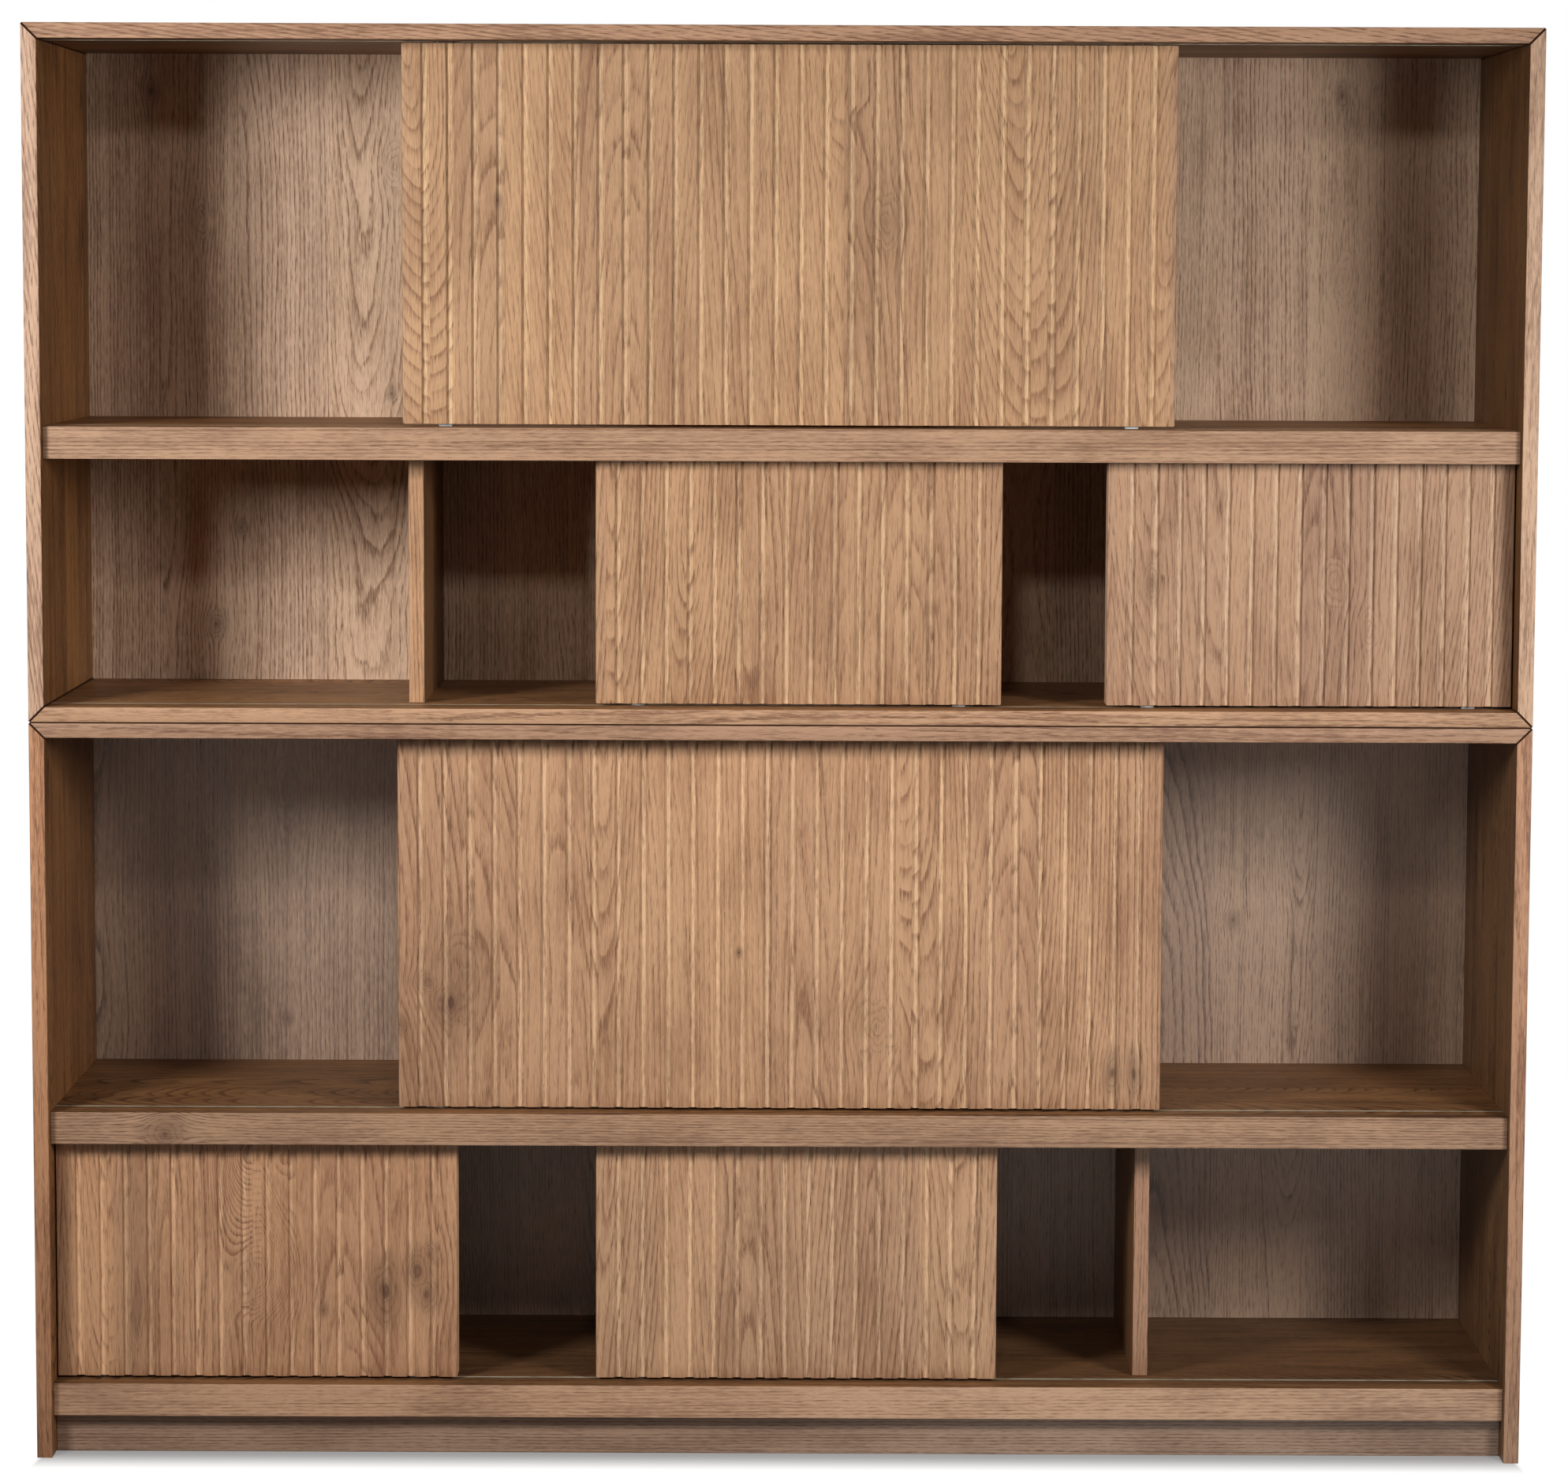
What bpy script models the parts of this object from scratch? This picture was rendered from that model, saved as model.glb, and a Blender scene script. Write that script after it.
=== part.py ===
"""Oak bookcase made of two stacked cabinets with grooved sliding doors.

Metres, +Z up. The front faces -Y, the width runs along X, and the origin lies on the floor
under the middle of the bookcase. Each cabinet has a large bay with one wide sliding door,
a shelf with a deep apron, and below it three bays behind two small doors on one track.
"""

import math

import bmesh
import bpy
from mathutils import Vector

# Carcass
WIDTH = 2.200
DEPTH = 0.450
PANEL = 0.0224
CONTACT_GAP = 0.0003
FRAME_ARRIS = 0.001
BOARD_ARRIS = 0.0012
ARRIS_STEPS = 2

# Heights, from the floor up
BASE_HEIGHT = 0.060
RAIL_HEIGHT = 0.049
LOWER_SMALL_BAY = 0.361
LOWER_LARGE_BAY = 0.558
UPPER_SMALL_BAY = 0.3625
UPPER_LARGE_BAY = 0.560
APRON_HEIGHT = 0.048

# Depths, from the front edge of the frame back
APRON_SETBACK = 0.015
DOOR_FRONT_CLEARANCE = 0.0075
DOOR_THICKNESS = 0.032
DIVIDER_CLEARANCE = 0.003
BACK_RECESS = 0.010
BACK_THICKNESS = 0.010
BACK_GROOVE_DEPTH = 0.004
UPPER_DIVIDER_PLACE_SHARE = 0.25
LOWER_DIVIDER_PLACE_SHARE = 0.248

# Door leaves
LARGE_DOOR_WIDTH = 1.130
LARGE_DOOR_STAVES = 31
SMALL_DOOR_WIDTH = 0.597
SMALL_DOOR_STAVES = 17
EDGE_STAVE = 0.0285
GROOVE_WIDTH = 0.012
GROOVE_DEPTH = 0.004
STAVE_ARRIS = 0.0008
LEAF_CORNER = 0.002
CORNER_STEPS = 3
LEAF_END_RADIUS = 0.003
DOOR_FLOOR_GAP = 0.004
DOOR_TOP_GAP = 0.003

# Places of the doors at rest
END_CLEARANCE = 0.002
UPPER_LARGE_DOOR_OFFSET = 0.010
UPPER_DOOR_SPACING = 0.154
LOWER_DOOR_SPACING = 0.2065

# Floor tracks and the glides that run in them
RUNNING_CLEARANCE = 0.0005
TRACK_WIDTH = 0.006
TRACK_HEIGHT = 0.009
TRACK_LIP = 0.0015
TRACK_WEB = 0.0015
GLIDE_INSET = 0.062
GLIDE_LENGTH = 0.022
GLIDE_WIDTH = 0.012
GLIDE_STEM = 0.012
GLIDE_TAPER = 0.002
GLIDE_FIN = 0.006

# Guide channels and the shoes that run in them
CHANNEL_WIDTH = 0.026
CHANNEL_HEIGHT = 0.012
CHANNEL_LIP = 0.0065
CHANNEL_WEB = 0.0015
SHOE_LENGTH = 0.030
SHOE_STEM = 0.012
SHOE_RISE = 0.008
SHOE_STEPS = 6

# Planes worked out from the sizes above
INNER_WIDTH = WIDTH - 2 * PANEL
FRONT = -DEPTH / 2
BACK = DEPTH / 2
APRON_FRONT = FRONT + APRON_SETBACK
SHELF_FRONT = APRON_FRONT + PANEL + CONTACT_GAP
DOOR_MIDDLE = APRON_FRONT + PANEL + DOOR_FRONT_CLEARANCE + DOOR_THICKNESS / 2
DIVIDER_FRONT = DOOR_MIDDLE + DOOR_THICKNESS / 2 + DIVIDER_CLEARANCE
BACK_PANEL_FRONT = BACK - BACK_RECESS - BACK_THICKNESS
BACK_PANEL_MIDDLE = BACK_PANEL_FRONT + BACK_THICKNESS / 2
INNER_BACK = BACK_PANEL_FRONT - CONTACT_GAP
HALF_BETWEEN_SIDES = INNER_WIDTH / 2 - CONTACT_GAP
LOWER_FLOOR = BASE_HEIGHT + RAIL_HEIGHT
LOWER_SHELF = LOWER_FLOOR + LOWER_SMALL_BAY + APRON_HEIGHT
LOWER_CEILING = LOWER_SHELF + LOWER_LARGE_BAY
LOWER_TOP = LOWER_CEILING + PANEL
UPPER_BASE = LOWER_TOP + CONTACT_GAP
UPPER_FLOOR = UPPER_BASE + PANEL
UPPER_SHELF = UPPER_FLOOR + UPPER_SMALL_BAY + APRON_HEIGHT
UPPER_CEILING = UPPER_SHELF + UPPER_LARGE_BAY
UPPER_DIVIDER_MIDDLE = INNER_WIDTH / 2 - INNER_WIDTH * UPPER_DIVIDER_PLACE_SHARE
LOWER_DIVIDER_MIDDLE = INNER_WIDTH / 2 - INNER_WIDTH * LOWER_DIVIDER_PLACE_SHARE
SHOE_WIDTH = CHANNEL_WIDTH - 2 * CHANNEL_LIP - 2 * RUNNING_CLEARANCE
FIN_WIDTH = TRACK_WIDTH - 2 * TRACK_LIP - 2 * RUNNING_CLEARANCE
MERGE_TOLERANCE = CONTACT_GAP / 10

# Finishes: base colour, roughness, metallic
FRAME_OAK = ((0.40, 0.22, 0.11), 0.55, 0.0)
DOOR_OAK = ((0.48, 0.28, 0.15), 0.55, 0.0)
INSIDE_OAK = ((0.13, 0.065, 0.033), 0.5, 0.0)
BACK_OAK = ((0.20, 0.12, 0.07), 0.6, 0.0)
GLIDE_PLASTIC = ((0.62, 0.70, 0.76), 0.4, 0.0)
TRACK_PLASTIC = ((0.50, 0.44, 0.36), 0.45, 0.0)


def clear_scene():
    """Remove every object of the open scene."""
    for item in list(bpy.data.objects):
        bpy.data.objects.remove(item, do_unlink=True)


def add_object(name, shape, finish, parent=None):
    """Turn a bmesh into a named object with its own material."""
    bmesh.ops.recalc_face_normals(shape, faces=shape.faces)
    mesh = bpy.data.meshes.new(name)
    shape.to_mesh(mesh)
    shape.free()
    colour, roughness, metallic = finish
    material = bpy.data.materials.new(name)
    material.use_nodes = True
    surface = material.node_tree.nodes["Principled BSDF"]
    surface.inputs["Base Color"].default_value = (*colour, 1.0)
    surface.inputs["Roughness"].default_value = roughness
    surface.inputs["Metallic"].default_value = metallic
    mesh.materials.append(material)
    item = bpy.data.objects.new(name, mesh)
    bpy.context.scene.collection.objects.link(item)
    item.parent = parent
    return item


def add_cutter(name, shape):
    """Turn a bmesh into a hidden cutting body."""
    bmesh.ops.recalc_face_normals(shape, faces=shape.faces)
    mesh = bpy.data.meshes.new(name)
    shape.to_mesh(mesh)
    shape.free()
    cutter = bpy.data.objects.new(name, mesh)
    bpy.context.scene.collection.objects.link(cutter)
    cutter.hide_render = True
    cutter.display_type = "WIRE"
    return cutter


def cut(item, cutter):
    """Take the cutter's volume out of an object."""
    modifier = item.modifiers.new(cutter.name, "BOOLEAN")
    modifier.operation = "DIFFERENCE"
    modifier.solver = "EXACT"
    modifier.object = cutter


def extrude_outline(shape, start_points, travel):
    """Add a closed body to the bmesh: one flat face moved along a vector."""
    corners = [shape.verts.new(point) for point in start_points]
    face = shape.faces.new(corners)
    result = bmesh.ops.extrude_face_region(shape, geom=[face], use_keep_orig=True)
    moved = [part for part in result["geom"] if isinstance(part, bmesh.types.BMVert)]
    bmesh.ops.translate(shape, vec=travel, verts=moved)


def along_x(shape, outline, start, end):
    """Extrude a (y, z) outline from one x to another."""
    extrude_outline(shape, [(start, y, z) for y, z in outline], (end - start, 0, 0))


def along_z(shape, outline, start, end):
    """Extrude an (x, y) outline from one height to another."""
    extrude_outline(shape, [(x, y, start) for x, y in outline], (0, 0, end - start))


def box(shape, low, high):
    """Add a box between two opposite corners."""
    outline = [(low[1], low[2]), (high[1], low[2]), (high[1], high[2]), (low[1], high[2])]
    along_x(shape, outline, low[0], high[0])


def notched_outline(near, far, low, high, low_notches=(), high_notches=()):
    """Outline of a board's section with grooves in its low and high faces.

    The first coordinate runs from near to far, the second from low to high, and a notch is
    (middle, width, depth).
    """
    points = [(near, low)]
    for middle, width, depth in sorted(low_notches):
        points += [(middle - width / 2, low), (middle - width / 2, low + depth)]
        points += [(middle + width / 2, low + depth), (middle + width / 2, low)]
    points += [(far, low), (far, high)]
    for middle, width, depth in sorted(high_notches, reverse=True):
        points += [(middle + width / 2, high), (middle + width / 2, high - depth)]
        points += [(middle - width / 2, high - depth), (middle - width / 2, high)]
    points.append((near, high))
    return points


def back_notch():
    """Groove that holds the edge of a back panel."""
    return (BACK_PANEL_MIDDLE, BACK_THICKNESS + 2 * CONTACT_GAP, BACK_GROOVE_DEPTH)


def track_notch():
    """Groove that holds a floor track."""
    return (DOOR_MIDDLE, TRACK_WIDTH + 2 * CONTACT_GAP, TRACK_HEIGHT + CONTACT_GAP)


def channel_notch():
    """Groove that holds a guide channel."""
    return (DOOR_MIDDLE, CHANNEL_WIDTH + 2 * CONTACT_GAP, CHANNEL_HEIGHT + CONTACT_GAP)


def trim(shape, corner, toward):
    """Cut away what lies beyond a plane through a corner, and close the cut."""
    direction = Vector(toward).normalized()
    everything = list(shape.verts) + list(shape.edges) + list(shape.faces)
    result = bmesh.ops.bisect_plane(
        shape, geom=everything, plane_co=Vector(corner), plane_no=direction,
        dist=MERGE_TOLERANCE, clear_outer=True,
    )
    rim = [part for part in result["geom_cut"] if isinstance(part, bmesh.types.BMEdge)]
    bmesh.ops.edgeloop_fill(shape, edges=rim)


def mitre(shape, corner, toward):
    """Mitre a panel at a corner, leaving half of the joint's gap."""
    direction = Vector(toward).normalized()
    trim(shape, Vector(corner) - direction * CONTACT_GAP / 2, toward)


def ease(shape, chosen, width):
    """Round the edges for which chosen(first, second) holds."""
    edges = [edge for edge in shape.edges if chosen(edge.verts[0].co, edge.verts[1].co)]
    bmesh.ops.bevel(
        shape, geom=edges, offset=width, offset_type="OFFSET", segments=ARRIS_STEPS,
        profile=0.5, affect="EDGES", clamp_overlap=True,
    )


def on_plane(axis, place):
    """Test for edges that lie in a plane square to an axis."""
    def chosen(first, second):
        return max(abs(first[axis] - place), abs(second[axis] - place)) < MERGE_TOLERANCE
    return chosen


def frame_edge(first, second):
    """Test for a frame panel's front and back edges and its outer corner edge."""
    in_front = on_plane(1, FRONT)(first, second)
    behind = on_plane(1, BACK)(first, second)
    corner = abs(first.y - second.y) > DEPTH - FRAME_ARRIS
    outer = min(abs(first.x), abs(second.x)) > INNER_WIDTH / 2 + PANEL / 2
    return in_front or behind or (corner and outer)


def side_panel(name, side, low, high, mitred_low):
    """Side of a cabinet, mitred at the top and, in the upper cabinet, at the bottom."""
    outline = [
        (side * (INNER_WIDTH / 2 + PANEL - depth), y)
        for y, depth in notched_outline(FRONT, BACK, 0, PANEL, high_notches=[back_notch()])
    ]
    shape = bmesh.new()
    along_z(shape, outline, low, high)
    mitre(shape, (side * WIDTH / 2, 0, high), (-side, 0, 1))
    if mitred_low:
        mitre(shape, (side * WIDTH / 2, 0, low), (-side, 0, -1))
    ease(shape, frame_edge, FRAME_ARRIS)
    return add_object(name, shape, FRAME_OAK)


def mitred_panel(name, low, high, outer, low_notches, high_notches):
    """Top or bottom of a cabinet, mitred at both ends; outer is the height of its outside."""
    shape = bmesh.new()
    outline = notched_outline(FRONT, BACK, low, high, low_notches, high_notches)
    along_x(shape, outline, -WIDTH / 2, WIDTH / 2)
    inward = -1 if outer == high else 1
    for side in (-1, 1):
        mitre(shape, (side * WIDTH / 2, 0, outer), (side, 0, inward))
    ease(shape, frame_edge, FRAME_ARRIS)
    return add_object(name, shape, FRAME_OAK)


def board_between_sides(name, front, back, low, high, finish, low_notches=(), high_notches=()):
    """Board that runs from side to side, with an eased front edge."""
    shape = bmesh.new()
    outline = notched_outline(front, back, low, high, low_notches, high_notches)
    along_x(shape, outline, -HALF_BETWEEN_SIDES, HALF_BETWEEN_SIDES)
    ease(shape, on_plane(1, front), BOARD_ARRIS)
    return add_object(name, shape, finish)


def back_panel(name, floor, ceiling):
    """Back of a cabinet, held in the grooves of its four panels."""
    reach = BACK_GROOVE_DEPTH - CONTACT_GAP
    shape = bmesh.new()
    half = INNER_WIDTH / 2 + reach
    low = (-half, BACK_PANEL_FRONT, floor - reach)
    high = (half, BACK_PANEL_FRONT + BACK_THICKNESS, ceiling + reach)
    box(shape, low, high)
    return add_object(name, shape, BACK_OAK)


def divider(name, middle, floor, shelf):
    """Upright between the small bays, behind the doors."""
    shape = bmesh.new()
    low = (middle - PANEL / 2, DIVIDER_FRONT, floor + CONTACT_GAP)
    high = (middle + PANEL / 2, INNER_BACK, shelf - PANEL - CONTACT_GAP)
    box(shape, low, high)
    ease(shape, on_plane(1, DIVIDER_FRONT), BOARD_ARRIS)
    return add_object(name, shape, FRAME_OAK)


def runner(name, face, width, height, lip, web, opening):
    """Slotted rail let flush into a face; opening is 1 where its slot looks up, else -1."""
    slot = (DOOR_MIDDLE, width - 2 * lip, height - web)
    near = DOOR_MIDDLE - width / 2
    far = DOOR_MIDDLE + width / 2
    shape = bmesh.new()
    if opening > 0:
        outline = notched_outline(near, far, face - height, face, high_notches=[slot])
    else:
        outline = notched_outline(near, far, face, face + height, low_notches=[slot])
    along_x(shape, outline, -HALF_BETWEEN_SIDES, HALF_BETWEEN_SIDES)
    return add_object(name, shape, TRACK_PLASTIC)


def floor_track(name, face):
    """Track for the glides, flush with the board that carries it."""
    return runner(name, face, TRACK_WIDTH, TRACK_HEIGHT, TRACK_LIP, TRACK_WEB, 1)


def guide_channel(name, face):
    """Channel for the guide shoes, flush with the underside that carries it."""
    size = (CHANNEL_WIDTH, CHANNEL_HEIGHT, CHANNEL_LIP, CHANNEL_WEB)
    return runner(name, face, *size, -1)


def corner_arc(centre, start_angle):
    """Points of a leaf corner's quarter circle, counter-clockwise from an angle."""
    points = []
    for step in range(CORNER_STEPS + 1):
        angle = start_angle + math.pi / 2 * step / CORNER_STEPS
        x = centre[0] + LEAF_CORNER * math.cos(angle)
        points.append((x, centre[1] + LEAF_CORNER * math.sin(angle)))
    return points


def stave_edges(width, staves):
    """Left and right edge of each proud stave, between equal grooves."""
    free = width - 2 * EDGE_STAVE - (staves - 1) * GROOVE_WIDTH
    inner_stave = free / (staves - 2)
    edges = []
    left = -width / 2
    for number in range(staves):
        is_end = number in (0, staves - 1)
        right = left + (EDGE_STAVE if is_end else inner_stave)
        edges.append((left, right))
        left = right + GROOVE_WIDTH
    return edges


def leaf_outline(width, staves):
    """Plan of a door leaf: proud staves in front with a groove between each two."""
    front = -DOOR_THICKNESS / 2
    back = DOOR_THICKNESS / 2
    reach = width / 2 - LEAF_CORNER
    points = []
    for left, right in stave_edges(width, staves):
        if points:
            points += [(left, front + GROOVE_DEPTH), (left, front + STAVE_ARRIS)]
            points.append((left + STAVE_ARRIS, front))
        else:
            points += corner_arc((-reach, front + LEAF_CORNER), math.pi)
        if right < reach:
            points += [(right - STAVE_ARRIS, front), (right, front + STAVE_ARRIS)]
            points.append((right, front + GROOVE_DEPTH))
    points += corner_arc((reach, front + LEAF_CORNER), -math.pi / 2)
    points += corner_arc((reach, back - LEAF_CORNER), 0)
    points += corner_arc((-reach, back - LEAF_CORNER), math.pi / 2)
    return points


def round_ends(shape, width, height):
    """Round the four corners of a leaf's front view with flats tangent to the radius."""
    centre_x = width / 2 - LEAF_END_RADIUS
    levels = ((LEAF_END_RADIUS, -1), (height - LEAF_END_RADIUS, 1))
    for side in (-1, 1):
        for centre_z, upward in levels:
            for step in range(CORNER_STEPS):
                angle = math.pi / 4 * (2 * step + 1) / CORNER_STEPS
                toward = Vector((side * math.cos(angle), 0, upward * math.sin(angle)))
                centre = Vector((side * centre_x, 0, centre_z))
                trim(shape, centre + toward * LEAF_END_RADIUS, toward)


def shoe_outline(centre_x, centre_y, clearance):
    """Plan of a guide shoe: a bar with round ends."""
    radius = SHOE_WIDTH / 2 + clearance
    straight = SHOE_LENGTH / 2 - SHOE_WIDTH / 2
    points = []
    for side, first_angle in ((1, -math.pi / 2), (-1, math.pi / 2)):
        for step in range(SHOE_STEPS + 1):
            angle = first_angle + math.pi * step / SHOE_STEPS
            x = centre_x + side * straight + radius * math.cos(angle)
            points.append((x, centre_y + radius * math.sin(angle)))
    return points


def glide(name, place, carrier):
    """Glide under a leaf: a stem in its pocket, a tapered foot and a fin in the track."""
    foot = -(DOOR_FLOOR_GAP - CONTACT_GAP)
    fin = foot - GLIDE_FIN
    outline = [
        (-GLIDE_WIDTH / 2, GLIDE_STEM), (-GLIDE_WIDTH / 2, foot),
        (-FIN_WIDTH / 2, foot), (-FIN_WIDTH / 2, fin),
        (FIN_WIDTH / 2, fin), (FIN_WIDTH / 2, foot),
        (GLIDE_WIDTH / 2, foot), (GLIDE_WIDTH / 2, GLIDE_STEM),
    ]
    shape = bmesh.new()
    along_x(shape, outline, -GLIDE_LENGTH / 2, GLIDE_LENGTH / 2)
    for side in (-1, 1):
        trim(shape, (side * GLIDE_LENGTH / 2, 0, 0), (-side * foot, 0, -GLIDE_TAPER))
    item = add_object(name, shape, GLIDE_PLASTIC, carrier)
    item.location.x = place
    return item


def guide_shoe(name, place, height, carrier):
    """Guide shoe on top of a leaf: a round-ended bar from its pocket into the channel."""
    shape = bmesh.new()
    outline = shoe_outline(0, 0, 0)
    along_z(shape, outline, -SHOE_STEM, DOOR_TOP_GAP + SHOE_RISE)
    item = add_object(name, shape, GLIDE_PLASTIC, carrier)
    item.location = (place, 0, height)
    return item


def glide_pocket(shape, centre_x, bottom):
    """Room for a glide's stem in the lower edge of a leaf."""
    half_length = GLIDE_LENGTH / 2 + CONTACT_GAP
    half_width = GLIDE_WIDTH / 2 + CONTACT_GAP
    low = (centre_x - half_length, DOOR_MIDDLE - half_width, bottom - DOOR_FLOOR_GAP)
    top = bottom + GLIDE_STEM + CONTACT_GAP
    box(shape, low, (centre_x + half_length, DOOR_MIDDLE + half_width, top))


def shoe_pocket(shape, centre_x, top):
    """Room for a guide shoe's stem in the upper edge of a leaf."""
    outline = shoe_outline(centre_x, DOOR_MIDDLE, CONTACT_GAP)
    along_z(shape, outline, top - SHOE_STEM - CONTACT_GAP, top + DOOR_TOP_GAP)


def door(name, middle, width, staves, floor, ceiling, pockets):
    """Sliding door: a grooved leaf, two glides under it and two guide shoes on top."""
    bottom = floor + DOOR_FLOOR_GAP
    height = ceiling - DOOR_TOP_GAP - bottom
    carrier = bpy.data.objects.new(name + "_slide", None)
    carrier.location = (middle, DOOR_MIDDLE, bottom)
    bpy.context.scene.collection.objects.link(carrier)

    leaf_shape = bmesh.new()
    along_z(leaf_shape, leaf_outline(width, staves), 0, height)
    round_ends(leaf_shape, width, height)
    leaf = add_object(name + "_leaf", leaf_shape, DOOR_OAK, carrier)

    for end, side in (("left", -1), ("right", 1)):
        place = side * (width / 2 - GLIDE_INSET)
        glide(f"{name}_{end}_glide", place, carrier)
        guide_shoe(f"{name}_{end}_shoe", place, height, carrier)
        glide_pocket(pockets, middle + place, bottom)
        shoe_pocket(pockets, middle + place, bottom + height)
    return leaf


def shelf_and_apron(unit, shelf):
    """Shelf with its deep apron in front, and the rails let into it."""
    board_between_sides(
        unit + "_shelf", SHELF_FRONT, INNER_BACK, shelf - PANEL, shelf, INSIDE_OAK,
        [channel_notch()], [track_notch()],
    )
    board_between_sides(
        unit + "_shelf_apron", APRON_FRONT, APRON_FRONT + PANEL, shelf - APRON_HEIGHT, shelf,
        FRAME_OAK,
    )
    floor_track(unit + "_shelf_track", shelf)
    guide_channel(unit + "_shelf_channel", shelf - PANEL)


def cabinet(unit, base, floor, shelf, ceiling, divider_middle):
    """Everything of a cabinet but its floor board."""
    mitred_panel(
        unit + "_top_panel", ceiling, ceiling + PANEL, ceiling + PANEL,
        [back_notch(), channel_notch()], [],
    )
    mitred_low = unit == "upper"
    side_panel(unit + "_left_side", -1, base, ceiling + PANEL, mitred_low)
    side_panel(unit + "_right_side", 1, base, ceiling + PANEL, mitred_low)
    back_panel(unit + "_back_panel", floor, ceiling)
    shelf_and_apron(unit, shelf)
    divider(unit + "_left_divider", -divider_middle, floor, shelf)
    divider(unit + "_right_divider", divider_middle, floor, shelf)
    floor_track(unit + "_floor_track", floor)
    guide_channel(unit + "_top_channel", ceiling)


def lower_floor_and_base():
    """Floor board of the lower cabinet with the rail and the plinth that carry it."""
    board_between_sides(
        "lower_floor_panel", SHELF_FRONT, BACK, LOWER_FLOOR - PANEL, LOWER_FLOOR, INSIDE_OAK,
        [], [back_notch(), track_notch()],
    )
    board_between_sides(
        "lower_floor_rail", APRON_FRONT, APRON_FRONT + PANEL, BASE_HEIGHT, LOWER_FLOOR,
        FRAME_OAK,
    )
    plinth_top = LOWER_FLOOR - PANEL - CONTACT_GAP
    board_between_sides(
        "lower_plinth", SHELF_FRONT, SHELF_FRONT + PANEL, 0, plinth_top, FRAME_OAK,
    )
    rear_back = BACK_PANEL_FRONT
    board_between_sides(
        "lower_rear_plinth", rear_back - PANEL, rear_back, 0, plinth_top, INSIDE_OAK,
    )
    brace = bmesh.new()
    low = (-PANEL / 2, SHELF_FRONT + PANEL + CONTACT_GAP, 0)
    box(brace, low, (PANEL / 2, rear_back - PANEL - CONTACT_GAP, plinth_top))
    add_object("lower_base_brace", brace, INSIDE_OAK)


def doors():
    """The six sliding doors, and the pockets for their glides and guide shoes."""
    pockets = bmesh.new()
    end_place = INNER_WIDTH / 2 - END_CLEARANCE - SMALL_DOOR_WIDTH / 2
    upper_middle = end_place - SMALL_DOOR_WIDTH - UPPER_DOOR_SPACING
    lower_middle = -end_place + SMALL_DOOR_WIDTH + LOWER_DOOR_SPACING
    large = (LARGE_DOOR_WIDTH, LARGE_DOOR_STAVES)
    small = (SMALL_DOOR_WIDTH, SMALL_DOOR_STAVES)
    upper_small_bay = (UPPER_FLOOR, UPPER_SHELF - PANEL)
    lower_small_bay = (LOWER_FLOOR, LOWER_SHELF - PANEL)
    upper_large_bay = (UPPER_SHELF, UPPER_CEILING)
    lower_large_bay = (LOWER_SHELF, LOWER_CEILING)
    leaves = [
        door("upper_large_door", UPPER_LARGE_DOOR_OFFSET, *large, *upper_large_bay, pockets),
        door("upper_middle_door", upper_middle, *small, *upper_small_bay, pockets),
        door("upper_right_door", end_place, *small, *upper_small_bay, pockets),
        door("lower_large_door", 0, *large, *lower_large_bay, pockets),
        door("lower_left_door", -end_place, *small, *lower_small_bay, pockets),
        door("lower_middle_door", lower_middle, *small, *lower_small_bay, pockets),
    ]
    cutter = add_cutter("door_pockets", pockets)
    for leaf in leaves:
        cut(leaf, cutter)


def build():
    """Build the whole bookcase."""
    clear_scene()
    lower_floor_and_base()
    cabinet("lower", 0, LOWER_FLOOR, LOWER_SHELF, LOWER_CEILING, LOWER_DIVIDER_MIDDLE)
    mitred_panel(
        "upper_bottom_panel", UPPER_BASE, UPPER_FLOOR, UPPER_BASE,
        [], [back_notch(), track_notch()],
    )
    cabinet(
        "upper", UPPER_BASE, UPPER_FLOOR, UPPER_SHELF, UPPER_CEILING, UPPER_DIVIDER_MIDDLE,
    )
    doors()


build()
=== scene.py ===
"""Looks of an oak bookcase: two stacked cabinets with grooved sliding doors.

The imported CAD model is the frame. The door leaves and the mitred frame panels are finished
copies of their CAD nodes, with worn groove edges and eased mitres. Every other node keeps its
CAD shape. Every surface gets a procedural oak or plastic, and a plain pale studio stands round
the whole. Metres, +Z up, the front faces -Y.
"""

import logging
import math
from collections.abc import Callable
from dataclasses import dataclass, replace
from enum import Enum

import bmesh
import bpy
from mathutils import Matrix, Vector, noise


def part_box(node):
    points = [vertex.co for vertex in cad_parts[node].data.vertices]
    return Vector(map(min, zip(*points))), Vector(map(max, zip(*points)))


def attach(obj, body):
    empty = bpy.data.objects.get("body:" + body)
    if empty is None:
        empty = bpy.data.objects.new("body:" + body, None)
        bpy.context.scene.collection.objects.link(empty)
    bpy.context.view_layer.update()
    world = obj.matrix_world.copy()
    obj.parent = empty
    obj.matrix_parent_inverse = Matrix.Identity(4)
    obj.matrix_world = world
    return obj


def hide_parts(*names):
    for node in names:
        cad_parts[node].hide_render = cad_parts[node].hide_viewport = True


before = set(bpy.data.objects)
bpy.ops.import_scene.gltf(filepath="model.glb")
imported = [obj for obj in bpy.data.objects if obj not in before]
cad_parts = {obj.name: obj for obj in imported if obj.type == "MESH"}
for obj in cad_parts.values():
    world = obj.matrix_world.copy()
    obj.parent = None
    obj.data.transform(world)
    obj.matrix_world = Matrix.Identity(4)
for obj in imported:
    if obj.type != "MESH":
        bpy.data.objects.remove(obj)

log = logging.getLogger("bookcase")

Colour = tuple[float, float, float]
Point = tuple[float, float, float]
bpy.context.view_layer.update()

WHITE = (1.0, 1.0, 1.0, 1.0)
PLAIN: Colour = (1.0, 1.0, 1.0)  # gain of a stain that is used as it is

# Depths to which the stain of an inner or upper face, a front edge and a rear face reaches.
FACE_SKIN, FRONT_SKIN, REAR_SKIN = 0.0006, 0.0012, 0.001


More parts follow.
